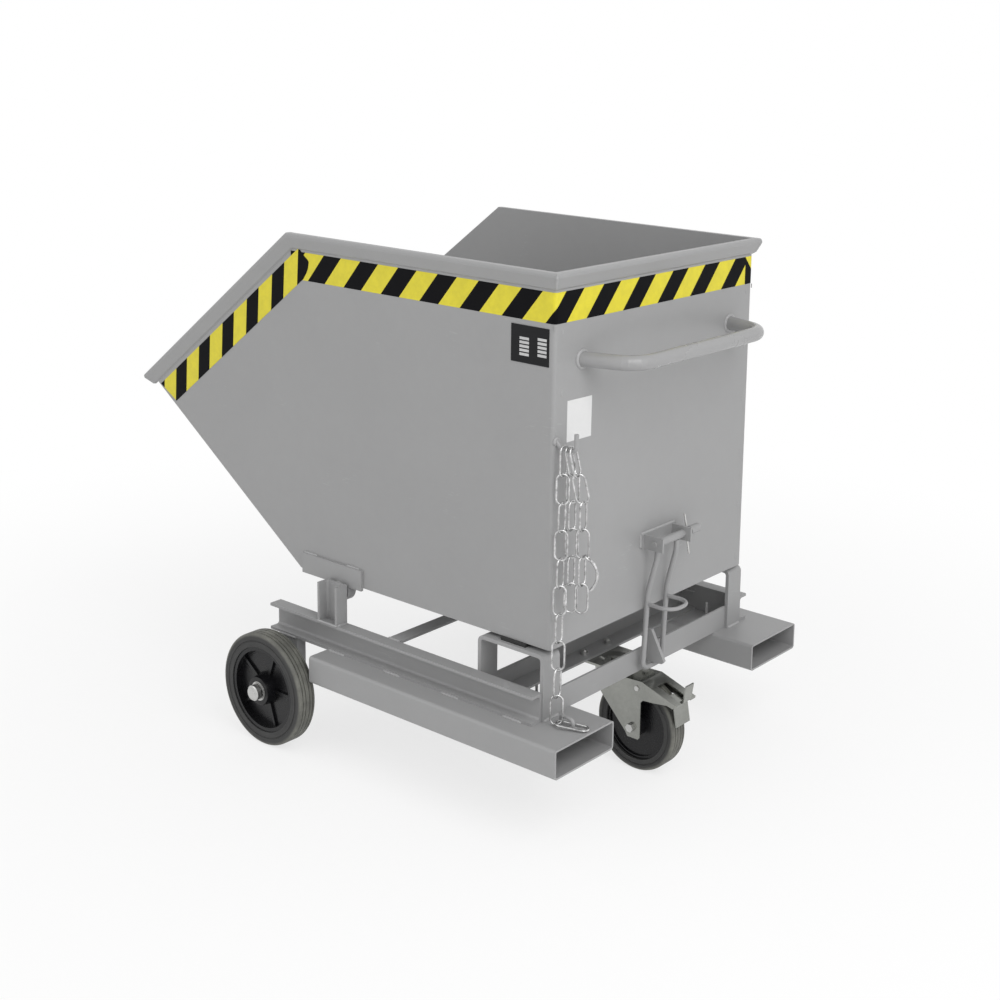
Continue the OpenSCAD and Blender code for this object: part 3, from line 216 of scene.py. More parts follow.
def bead(points, size, ripple, up=(0, 0, 1), seed=0, closed=False):
    """A weld bead: a tube whose radius ripples along the path.

    The radius is size times one, plus 14 % of a rectified sine with the ripple's pitch, plus two slow
    waves of 4 % with phases from the seed. An open bead's ends are rounded over 1.5 times the size.
    """
    path, at = resample(points, ripple / 4)
    wave = np.abs(np.sin(np.pi * at / ripple + seed))
    turn = 2 * np.pi * at / ripple
    slow = np.sin(turn / 7.3 + 1.7 * seed) + np.sin(turn / 3.1 + seed)
    radius = size * (1 + 0.14 * wave + 0.04 * slow)
    if closed:
        return tube(path[:-1], radius[:-1], up, closed=True)
    end = np.minimum(at, at[-1] - at) / (1.5 * size)
    rounding = np.sqrt(np.clip(end, 0.0004, 1) * (2 - np.clip(end, 0, 1)))
    return tube(path, radius * rounding, up)


def ring_points(centre, radius, axis, count=40):
    """Points round a circle: centre plus radius times cosine and sine of two axes square to axis."""
    axis = np.asarray(axis, float) / np.linalg.norm(axis)
    side = np.cross(axis, [0.0, 0.0, 1.0])
    if np.linalg.norm(side) < 0.1:
        side = np.cross(axis, [0.0, 1.0, 0.0])
    side /= np.linalg.norm(side)
    top = np.cross(side, axis)
    angle = np.linspace(0, 2 * np.pi, count + 1)[:, None]
    return np.asarray(centre, float) + radius * (np.cos(angle) * side + np.sin(angle) * top)


# Making materials


def add_node(tree, kind, inputs=None, **settings):
    """A node of a kind with its settings and the values or links of its inputs."""
    node = tree.nodes.new(kind)
    for key, value in settings.items():
        setattr(node, key, value)
    for key, value in (inputs or {}).items():
        if isinstance(value, bpy.types.NodeSocket):
            tree.links.new(value, node.inputs[key])
        else:
            node.inputs[key].default_value = value
    return node


def math_node(tree, operation, a, b=0.0, clamp=False):
    """The result of a sum with two numbers or sockets."""
    return add_node(tree, "ShaderNodeMath", {0: a, 1: b}, operation=operation, use_clamp=clamp).outputs[0]


def mix_color(tree, factor, a, b, blend="MIX"):
    """Two colours mixed by a factor."""
    node = add_node(tree, "ShaderNodeMix", {0: factor, 6: a, 7: b}, data_type="RGBA", blend_type=blend)
    return node.outputs[2]


def noise(tree, vector, scale, detail=3.0, roughness=0.55):
    """Noise at a scale per metre, about 0.5."""
    return add_node(tree, "ShaderNodeTexNoise", {
        "Vector": vector, "Scale": scale, "Detail": detail, "Roughness": roughness}).outputs["Fac"]


def ramp(tree, value, low, high):
    """0 below low, 1 above high, smooth between."""
    node = add_node(tree, "ShaderNodeMapRange", {
        "Value": value, "From Min": low, "From Max": high, "To Min": 0.0, "To Max": 1.0},
        interpolation_type="SMOOTHSTEP")
    return node.outputs[0]


def object_vector(tree):
    return add_node(tree, "ShaderNodeTexCoord").outputs["Object"]


def rgba(color, scale=1.0):
    return tuple(min(1.0, c * scale) for c in color) + (1.0,)


def new_group(name, ins, outs):
    """An empty shader node group. ins and outs list a name, a socket type and a default."""
    group = bpy.data.node_groups.new(name, "ShaderNodeTree")
    for way, rows in (("INPUT", ins), ("OUTPUT", outs)):
        for label, kind, default in rows:
            socket = group.interface.new_socket(name=label, in_out=way, socket_type="NodeSocket" + kind)
            if default is not None:
                socket.default_value = default
    return group, group.nodes.new("NodeGroupInput"), group.nodes.new("NodeGroupOutput")


def film_group():
    """A sprayed or plated film: slow and fine changes of colour, of roughness and of the surface."""
    group, g_in, g_out = new_group(
        "Film",
        [("Color", "Color", (0.5, 0.5, 0.5, 1)), ("Variation", "Float", 0.05),
         ("Scale", "Float", 4.0), ("Roughness", "Float", 0.4), ("Roughness Variation", "Float", 0.08),
         ("Peel Scale", "Float", 420.0), ("Peel Height", "Float", 0.12)],
        [("Color", "Color", None), ("Roughness", "Float", None), ("Normal", "Vector", None)])
    where = object_vector(group)
    slow = noise(group, where, g_in.outputs["Scale"], 4.0, 0.6)
    fast = noise(group, where, math_node(group, "MULTIPLY", g_in.outputs["Scale"], 14.0), 3.0, 0.6)
    both = math_node(group, "ADD", slow, math_node(group, "MULTIPLY", fast, 0.4))
    centred = math_node(group, "SUBTRACT", both, 0.7)
    gain = math_node(group, "ADD", math_node(
        group, "MULTIPLY", math_node(group, "MULTIPLY", centred, 4.0), g_in.outputs["Variation"]), 1.0)
    tint = add_node(group, "ShaderNodeVectorMath", {0: g_in.outputs["Color"]}, operation="SCALE")
    group.links.new(gain, tint.inputs["Scale"])
    rough = math_node(group, "ADD", g_in.outputs["Roughness"], math_node(
        group, "MULTIPLY", math_node(group, "MULTIPLY", centred, 2.5), g_in.outputs["Roughness Variation"]))
    peel = noise(group, where, g_in.outputs["Peel Scale"], 2.0, 0.5)
    bump = add_node(group, "ShaderNodeBump", {
        "Strength": g_in.outputs["Peel Height"], "Distance": 0.0004, "Height": peel})
    group.links.new(tint.outputs[0], g_out.inputs["Color"])
    group.links.new(rough, g_out.inputs["Roughness"])
    group.links.new(bump.outputs[0], g_out.inputs["Normal"])
    return group


def scuff_group():
    """A mask of short scratches and rubbed spots: stretched noise above a threshold."""
    group, g_in, g_out = new_group(
        "Scuffs",
        [("Scale", "Float", 60.0), ("Amount", "Float", 0.3)],
        [("Mask", "Float", None)])
    where = object_vector(group)
    turned = add_node(group, "ShaderNodeMapping", {
        "Vector": where, "Rotation": (0.4, 0.9, 0.3), "Scale": (1.0, 1.0, 9.0)})
    streak = noise(group, turned.outputs[0], g_in.outputs["Scale"], 2.0, 0.5)
    patch = noise(group, where, 7.0, 3.0, 0.6)
    both = math_node(group, "MULTIPLY", streak, patch)
    limit = math_node(group, "SUBTRACT", 0.46, math_node(group, "MULTIPLY", g_in.outputs["Amount"], 0.14))
    over = math_node(group, "DIVIDE", math_node(group, "SUBTRACT", both, limit), 0.03, clamp=True)
    group.links.new(over, g_out.inputs["Mask"])
    return group


def stripe_group():
    """Bands along X of a vector: 1 in the first share of each whole number, with a sharp edge."""
    group, g_in, g_out = new_group(
        "Stripes",
        [("Vector", "Vector", None), ("Share", "Float", 0.5)],
        [("Mask", "Float", None)])
    along = add_node(group, "ShaderNodeSeparateXYZ", {0: g_in.outputs["Vector"]}).outputs[0]
    part = math_node(group, "FRACT", along)
    mask = math_node(group, "LESS_THAN", part, g_in.outputs["Share"])
    group.links.new(mask, g_out.inputs["Mask"])
    return group


def turned_group():
    """Rings about an axis along Y through a centre: height of ridges and the distance from the axis."""
    group, g_in, g_out = new_group(
        "Turned",
        [("Centre", "Vector", (0, 0, 0)), ("Rings Per Metre", "Float", 200.0)],
        [("Ridge", "Float", None), ("Distance", "Float", None)])
    offset = add_node(group, "ShaderNodeVectorMath", {
        0: object_vector(group), 1: g_in.outputs["Centre"]}, operation="SUBTRACT")
    flat = add_node(group, "ShaderNodeVectorMath", {
        0: offset.outputs[0], 1: (1.0, 0.0, 1.0)}, operation="MULTIPLY")
    away = add_node(group, "ShaderNodeVectorMath", {0: flat.outputs[0]}, operation="LENGTH").outputs["Value"]
    turns = math_node(group, "MULTIPLY", math_node(
        group, "MULTIPLY", away, g_in.outputs["Rings Per Metre"]), 2 * math.pi)
    ridge = math_node(group, "SINE", turns)
    group.links.new(ridge, g_out.inputs["Ridge"])
    group.links.new(away, g_out.inputs["Distance"])
    return group


def shared(name, build):
    """A node group that is built once and found by its name afterwards."""
    return bpy.data.node_groups.get(name) or build()


def group_node(tree, name, build, **inputs):
    """A placed node group with its inputs set or linked; an underscore stands for a space."""
    node = add_node(tree, "ShaderNodeGroup", None, node_tree=shared(name, build))
    for key, value in inputs.items():
        socket = node.inputs[key.replace("_", " ")]
        if isinstance(value, bpy.types.NodeSocket):
            tree.links.new(value, socket)
        else:
            socket.default_value = value
    return node


def start_material(name):
    """A new material with only a Principled shader and its output, and its node tree."""
    material = bpy.data.materials.get(name)
    if material:
        return material, None, None
    material = bpy.data.materials.new(name)
    material.use_nodes = True
    tree = material.node_tree
    tree.nodes.clear()
    shader = tree.nodes.new("ShaderNodeBsdfPrincipled")
    out = tree.nodes.new("ShaderNodeOutputMaterial")
    tree.links.new(shader.outputs[0], out.inputs[0])
    return material, tree, shader


def painted_steel(name="Painted steel", scuffs=0.25, roughness_shift=0.0):
    """Satin grey paint over steel: slow changes of tone, orange peel, and pale scuffs."""
    material, tree, shader = start_material(name)
    if tree is None:
        return material
    film = group_node(tree, "Film", film_group, Color=rgba(finishes().paint), Variation=0.035,
                      Scale=3.0, Roughness=finishes().paint_gloss + roughness_shift,
                      Roughness_Variation=0.10, Peel_Scale=380.0, Peel_Height=0.10)
    rubbed = group_node(tree, "Scuffs", scuff_group, Scale=45.0, Amount=scuffs)
    color = mix_color(tree, math_node(tree, "MULTIPLY", rubbed.outputs[0], 0.22),
                      film.outputs["Color"], rgba(finishes().paint, 1.5))
    tree.links.new(color, shader.inputs["Base Color"])
    tree.links.new(film.outputs["Roughness"], shader.inputs["Roughness"])
    tree.links.new(film.outputs["Normal"], shader.inputs["Normal"])
    shader.inputs["Specular IOR Level"].default_value = 0.5
    return material


def weld_metal():
    """Painted weld: the paint's grey over a coarse, slightly brighter surface."""
    material, tree, shader = start_material("Painted weld")
    if tree is None:
        return material
    film = group_node(tree, "Film", film_group, Color=rgba(finishes().paint, 1.12), Variation=0.10,
                      Scale=60.0, Roughness=0.36, Roughness_Variation=0.15,
                      Peel_Scale=900.0, Peel_Height=0.35)
    tree.links.new(film.outputs["Color"], shader.inputs["Base Color"])
    tree.links.new(film.outputs["Roughness"], shader.inputs["Roughness"])
    tree.links.new(film.outputs["Normal"], shader.inputs["Normal"])
    return material


def hazard_film():
    """Yellow and black film: stripes from the tape's own map, with a slight print mottle."""
    material, tree, shader = start_material("Hazard tape")
    if tree is None:
        return material
    lay = add_node(tree, "ShaderNodeUVMap", uv_map="Lay").outputs[0]
    black = group_node(tree, "Stripes", stripe_group, Vector=lay, Share=sizes().stripe_share)
    where = object_vector(tree)
    mottle = ramp(tree, noise(tree, where, 55.0, 4.0, 0.65), 0.25, 0.75)
    yellow = mix_color(tree, mottle, rgba(finishes().tape_yellow, 0.93), rgba(finishes().tape_yellow, 1.05))
    color = mix_color(tree, black.outputs[0], yellow, rgba(finishes().tape_black))
    tree.links.new(color, shader.inputs["Base Color"])
    dull = math_node(tree, "MULTIPLY", black.outputs[0], 0.12)
    rough = math_node(tree, "ADD", math_node(tree, "MULTIPLY", mottle, 0.08), 0.38)
    tree.links.new(math_node(tree, "ADD", rough, dull), shader.inputs["Roughness"])
    gloss = math_node(tree, "SUBTRACT", 0.5, math_node(tree, "MULTIPLY", black.outputs[0], 0.44))
    tree.links.new(gloss, shader.inputs["Specular IOR Level"])
    bump = add_node(tree, "ShaderNodeBump", {
        "Strength": 0.06, "Distance": 0.0003, "Height": noise(tree, where, 300.0, 2.0)})
    tree.links.new(bump.outputs[0], shader.inputs["Normal"])
    return material


def zinc_plate(name, color, roughness, scale=30.0, variation=0.10):
    """Bright zinc: a metal with faint cloudy spangles and fine scratches. A large variation paints bright
    and dark glints as well.
    """
    material, tree, shader = start_material(name)
    if tree is None:
        return material
    film = group_node(tree, "Film", film_group, Color=rgba(color), Variation=variation,
                      Scale=scale, Roughness=roughness, Roughness_Variation=0.16,
                      Peel_Scale=700.0, Peel_Height=0.12)
    rubbed = group_node(tree, "Scuffs", scuff_group, Scale=160.0, Amount=0.5)
    worn = mix_color(tree, math_node(tree, "MULTIPLY", rubbed.outputs[0], 0.25),
                     film.outputs["Color"], rgba(color, 0.6))
    tree.links.new(worn, shader.inputs["Base Color"])
    tree.links.new(film.outputs["Roughness"], shader.inputs["Roughness"])
    tree.links.new(film.outputs["Normal"], shader.inputs["Normal"])
    shader.inputs["Metallic"].default_value = 0.92
    return material


def tyre_rubber(name, tyre, rings):
    """Solid rubber: moulded rings on the wall, and grey dust where it rolls."""
    material, tree, shader = start_material(name)
    if tree is None:
        return material
    low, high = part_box(tyre)
    radius = (high.z - low.z) / 2
    turned = group_node(tree, "Turned", turned_group, Centre=middle(tyre), Rings_Per_Metre=rings)
    film = group_node(tree, "Film", film_group, Color=rgba(finishes().rubber), Variation=0.12,
                      Scale=18.0, Roughness=0.62, Roughness_Variation=0.15,
                      Peel_Scale=900.0, Peel_Height=0.25)
    where = object_vector(tree)
    dusty = math_node(tree, "MULTIPLY", ramp(tree, noise(tree, where, 26.0, 5.0, 0.7), 0.35, 0.8), 0.35)
    wall = mix_color(tree, dusty, film.outputs["Color"], (0.060, 0.060, 0.056, 1.0))
    tread = ramp(tree, turned.outputs["Distance"], radius - 0.009, radius - 0.002)
    trodden = math_node(tree, "ADD", 0.45, math_node(tree, "MULTIPLY", dusty, 1.4), clamp=True)
    color = mix_color(tree, math_node(tree, "MULTIPLY", tread, trodden), wall, (0.20, 0.20, 0.175, 1.0))
    bump = add_node(tree, "ShaderNodeBump", {
        "Strength": 0.35, "Distance": 0.0006, "Height": turned.outputs["Ridge"],
        "Normal": film.outputs["Normal"]})
    tree.links.new(color, shader.inputs["Base Color"])
    tree.links.new(film.outputs["Roughness"], shader.inputs["Roughness"])
    tree.links.new(bump.outputs[0], shader.inputs["Normal"])
    return material


def moulded_plastic(name, centre, rings):
    """Black moulded plastic with faint turning rings and a soft sheen."""
    material, tree, shader = start_material(name)
    if tree is None:
        return material
    turned = group_node(tree, "Turned", turned_group, Centre=centre, Rings_Per_Metre=rings)
    film = group_node(tree, "Film", film_group, Color=(0.006, 0.006, 0.007, 1), Variation=0.15,
                      Scale=22.0, Roughness=0.27, Roughness_Variation=0.14,
                      Peel_Scale=1200.0, Peel_Height=0.15)
    bump = add_node(tree, "ShaderNodeBump", {
        "Strength": 0.18, "Distance": 0.0004, "Height": turned.outputs["Ridge"],
        "Normal": film.outputs["Normal"]})
    tree.links.new(film.outputs["Color"], shader.inputs["Base Color"])
    tree.links.new(film.outputs["Roughness"], shader.inputs["Roughness"])
    tree.links.new(bump.outputs[0], shader.inputs["Normal"])
    shader.inputs["Specular IOR Level"].default_value = 0.32
    return material


def plain_finish(name, color, roughness, metallic=0.0, variation=0.08, scale=20.0, peel=600.0, height=0.2,
                 gloss=0.5):
    """A finish of one colour with its own grain: rubber pads, plates, paper."""
    material, tree, shader = start_material(name)
    if tree is None:
        return material
    film = group_node(tree, "Film", film_group, Color=color + (1.0,), Variation=variation,
                      Scale=scale, Roughness=roughness, Roughness_Variation=0.10,
                      Peel_Scale=peel, Peel_Height=height)
    tree.links.new(film.outputs["Color"], shader.inputs["Base Color"])
    tree.links.new(film.outputs["Roughness"], shader.inputs["Roughness"])
    tree.links.new(film.outputs["Normal"], shader.inputs["Normal"])
    shader.inputs["Metallic"].default_value = metallic
    shader.inputs["Specular IOR Level"].default_value = gloss
    return material


def dress(names, material):
    """Gives CAD nodes a material in every slot."""
    for name in names:
        mesh = frame["nodes"][name].data
        if not mesh.materials:
            mesh.materials.append(material)
        for index in range(len(mesh.materials)):
            mesh.materials[index] = material


def middle(name):
    """The middle of a CAD node's box."""
    low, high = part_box(name)
    return tuple((low + high) / 2)


# Operators


class SKIP_OT_paint(bpy.types.Operator):
    """Paints the skip, its handle and the frame"""

    bl_idname = "skip.paint"
    bl_label = "Paint the Steel"

    def execute(self, context):
        paint = painted_steel()
        worn = painted_steel("Painted steel, frame", 0.55, 0.03)
        bodies = frame["record"]["behaviour"]["bodies"]
        dress(bodies["skip"] + bodies["latch"], paint)
        dress(bodies["frame"], worn)
        dress(["push_handle"], painted_steel("Painted steel, handle", 0.1, -0.16))
        return {"FINISHED"}


class SKIP_OT_hardware(bpy.types.Operator):
    """Gives the castor, the chain, the bolts and the plate their metal, rubber and plastic"""

    bl_idname = "skip.hardware"
    bl_label = "Finish the Hardware"

    def execute(self, context):
        zinc = zinc_plate("Zinc plate", finishes().zinc, 0.20, 9.0, 0.14)
        bright = zinc_plate("Bright zinc", (0.52, 0.52, 0.51), 0.30, 60.0)
        # The chain's strong colour variation paints bright and dark glints on the links: painted highlights
        # over the zinc.
        links = zinc_plate("Chain zinc", (0.50, 0.50, 0.50), 0.16, 90.0, 0.55)
        dress(["castor_fork", "castor_top_plate", "castor_kingpin", "brake_pedal", "brake_shoe"], zinc)
        dress(["castor_axle", "castor_bolts", "front_axle_left", "front_axle_right",
               "bearings_left", "bearings_right", "split_pin"], bright)
        dress(["chain_drop", "chain_bundle", "chain_anchor_link"], links)
        for side in ("left", "right"):
            tyre = "tyre_" + side
            dress([tyre], tyre_rubber("Front tyre " + side, tyre, 95.0))
            dress(["wheel_" + side], moulded_plastic("Front wheel " + side, middle(tyre), 260.0))
        dress(["castor_tyre"], tyre_rubber("Castor tyre", "castor_tyre", 110.0))
        dress(["castor_core"], moulded_plastic("Castor core", middle("castor_tyre"), 170.0))
        dress(["rest_pad_left", "rest_pad_right"],
              plain_finish("Pad rubber", (0.02, 0.02, 0.02), 0.7, height=0.4))
        dress(["rating_plate"], plain_finish("Black plate", (0.006, 0.006, 0.007), 0.45, 0.0, gloss=0.2))
        return {"FINISHED"}


# The hazard tape's places, in millimetres. The side sheets' outer faces lie at SIDE_Y.
SIDE_Y = 335.0
SHEET_BEND = 8.0
TAPE_LOW = 1011.5
TAPE_FRONT = -733.0
TAPE_REAR_LEFT = -308.0
TAPE_REAR_RIGHT = 306.0
# X of a stripe's edge at the tape's lower edge, and how far it leans back at the upper edge.
STRIPE_START = -680.0
STRIPE_SHEAR = 50.0
# The stripes are this much longer on the rear wall.
REAR_STRETCH = 1.045
# The slanted tape: its angle, its lower corner at the pouring edge, and its cut at that end.
SLANT = math.radians(37.5)
SLANT_START = (-1139.6, 672.2)
SLANT_CUT = 0.36
SLANT_CORNER = 4.0
SLANT_STRETCH = 0.982
SLANT_LEAN = 5.0
# X of the slanted tape's torn rear end, at shares of the tape's width.
TORN_SHARE = (0, 0.12, 0.35, 0.62, 0.9, 1.0)
TORN_X = (-694.0, -680.0, -676.0, -690.0, -703.0, -706.0)


class SKIP_OT_tape(bpy.types.Operator):
    """Lays the hazard tape along the side sheets, round the rear corners and up the slanted rim"""

    bl_idname = "skip.tape"
    bl_label = "Lay the Hazard Tape"

    def wrapped_strip(self, side, rear_end, lift):
        """A band of constant height along the side, round the corner and across the rear.

        The run is the distance along the tape from the corner. The first parameter goes along the
        run and the second up the tape. The stripes' phase is the run less the shear times the
        height, over the pitch.
        """
        bend = SHEET_BEND + lift
        flat_side = np.linspace(TAPE_FRONT, -SHEET_BEND, 60)
        turn = np.linspace(0, math.pi / 2, 9)[1:-1]
        flat_rear = np.linspace(SIDE_Y - SHEET_BEND, rear_end, 50)
        x = np.concatenate([flat_side, bend * np.sin(turn) - SHEET_BEND, np.full(50, lift)])
        y = np.concatenate([np.full(60, SIDE_Y + lift), SIDE_Y - SHEET_BEND + bend * np.cos(turn),
                            flat_rear])
        corner = SHEET_BEND * (math.pi / 2 - 1)
        run = np.concatenate([flat_side, SHEET_BEND * (turn - 1),
                              corner + (SIDE_Y - SHEET_BEND - flat_rear) / REAR_STRETCH])
        width = sizes().tape_width / MM
        up = np.linspace(0, 1, 3)
        points = np.stack([np.repeat(x, 3), np.repeat(side * y, 3),
                           TAPE_LOW + width * np.tile(up, len(x))], axis=1)
        phase = np.repeat(run, 3) - STRIPE_START - STRIPE_SHEAR * np.tile(up, len(x))
        phase = phase / (sizes().stripe_pitch / MM)
        faces = grid_faces(len(x), 3)
        if side < 0:
            faces = faces[:, ::-1]
        return points, faces, np.stack([phase + 20.0, np.tile(up, len(x))], axis=1)

    def slanted_strip(self, side, lift):
        """The tape beside the slanted rim: a band between two parallel lines, torn at its rear end.

        The first parameter runs from the front end to the rear end of each line across the tape,
        and the second goes across it. The stripes' phase follows X, less a small lean across.
        """
        across = np.linspace(0, 1, 13)
        width = sizes().tape_width / MM
        along = np.array([math.cos(SLANT), math.sin(SLANT)])
        square = np.array([-math.sin(SLANT), math.cos(SLANT)])
        front = -0.5 - SLANT_CUT * width * across + SLANT_CORNER * (1 - across)
        rear_x = np.interp(across, TORN_SHARE, TORN_X)
        start = np.array(SLANT_START)[None] + width * across[:, None] * square[None]
        end = (rear_x - start[:, 0]) / along[0]
        share = np.linspace(0, 1, 40)
        reach = front[None, :] + share[:, None] * (end - front)[None, :]
        flat = start[None] + reach[:, :, None] * along[None, None]
        points = np.stack([flat[:, :, 0].ravel(),
                           np.full(flat[:, :, 0].size, side * (SIDE_Y + lift)),
                           flat[:, :, 1].ravel()], axis=1)
        leaned_x = flat[:, :, 0] - SLANT_LEAN * across[None, :]
        pitch = sizes().stripe_pitch / MM * math.cos(SLANT) * SLANT_STRETCH
        phase = (leaned_x - SLANT_START[0]).ravel() / pitch
        faces = grid_faces(40, 13)
        if side < 0:
            faces = faces[:, ::-1]
        return points, faces, np.stack([phase + 20.0, np.tile(across, 40)], axis=1)

    def execute(self, context):
        film = hazard_film()
        for side, word, rear_end, lift in ((-1, "left", TAPE_REAR_LEFT, 0.20),
                                           (1, "right", TAPE_REAR_RIGHT, 0.32)):
            points, faces, lay = self.wrapped_strip(side, rear_end, lift)
            make_piece("tape_" + word, place(points), faces, film, "skip", uv=lay)
            points, faces, lay = self.slanted_strip(side, 0.45)
            make_piece("tape_slanted_" + word, place(points), faces, film, "skip", uv=lay)
        return {"FINISHED"}


# Corners of the label on the rear wall as Y and Z, and the two columns of fields on the plate: the
# distance from the plate's left edge, the width, and the distance of the first row from the top.
LABEL_CORNERS = ((-296.0, 778.0), (-221.5, 777.0), (-220.5, 857.5), (-295.5, 859.0))
PLATE_COLUMNS = ((21.5, 23.5, 23.0), (66.5, 22.0, 20.0))
FIELD_PITCH = 7.7
FIELD_HEIGHT = 5.2


class SKIP_OT_label(bpy.types.Operator):
    """Puts the bare white label on the rear wall and the blank fields on the rating plate"""

    bl_idname = "skip.label"
    bl_label = "Add the Label and Plate Fields"

    def panel(self, corners, thickness, axis):
        """A thin closed slab over a quadrilateral: the corners, and the corners moved along axis."""
        corners = np.asarray(corners, float)
        top = corners + thickness * np.asarray(axis, float)
        points = np.concatenate([corners, top])
        sides = [[0, 1, 5, 4], [1, 2, 6, 5], [2, 3, 7, 6], [3, 0, 4, 7]]
        faces = np.array([[3, 2, 1, 0], [4, 5, 6, 7]] + sides)
        return points, faces

    def execute(self, context):
        paper = plain_finish("Label paper", (0.70, 0.70, 0.70), 0.5, variation=0.02, scale=30.0, height=0.05)
        points, faces = self.panel([(0.1, y, z) for y, z in LABEL_CORNERS], 0.25, (1, 0, 0))
        make_piece("label", place(points), faces, paper, "skip", smooth=False)
        low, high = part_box("rating_plate")
        silver = plain_finish("Plate silver", (0.52, 0.52, 0.52), 0.4, 0.5)
        parts = []
        y = low.y / MM - 0.02
        for left, wide, top in PLATE_COLUMNS:
            x0 = (low.x - WALL_X) / MM + left
            x1 = x0 + wide
            for drop in top + FIELD_PITCH * np.arange(5):
                z1 = high.z / MM - drop
                z0 = z1 - FIELD_HEIGHT
                corners = [(x0, y, z0), (x1, y, z0), (x1, y, z1), (x0, y, z1)]
                parts.append(self.panel(corners, 0.15, (0, -1, 0)))
        points, faces = join_meshes(parts)
        make_piece("plate_fields", place(points), faces, silver, "skip", smooth=False)
        return {"FINISHED"}


# The welds' places, in millimetres. A Y is that of the right side, and the left is its mirror.
WALL_SEAM_Y = 313.0
HANDLE_FOOT = (252.5, 934.0, 16.2)
PIVOT_PLATE_SEAM = (336.0, 408.5)
PIVOT_PLATE_TACKS = ((-700, -659), (-566, -528))
# Down the mitre at the rim's rear corner, outside and inside.
RIM_MITRE = ((-2, 333, 1107.4), (8, 343, 1107.4), (12.0, 347.0, 1103.6), (12.4, 347.4, 1101),
             (3.6, 338.6, 1080))
RIM_MITRE_INSIDE = ((-3, 331, 1082), (-3, 331, 1106))
CORNER_TACK = ((-1, 335.5, 1010), (-1, 335.5, 1000))
HOOK_FOOT = (0, -326, 786)
RAIL_OUT = 377.3
RAIL_IN = 346.7
POCKET_TOP = 225.6
RAIL_TOP = 285.3
# Each end of the front post's foot along X, and of the portal's foot.
POST_FOOT = (-614.0, -554.0)
PORTAL_FOOT = (-176.5, -4.5)
BOW_FEET = ((22.9, -324.8), (57.9, -330.0))


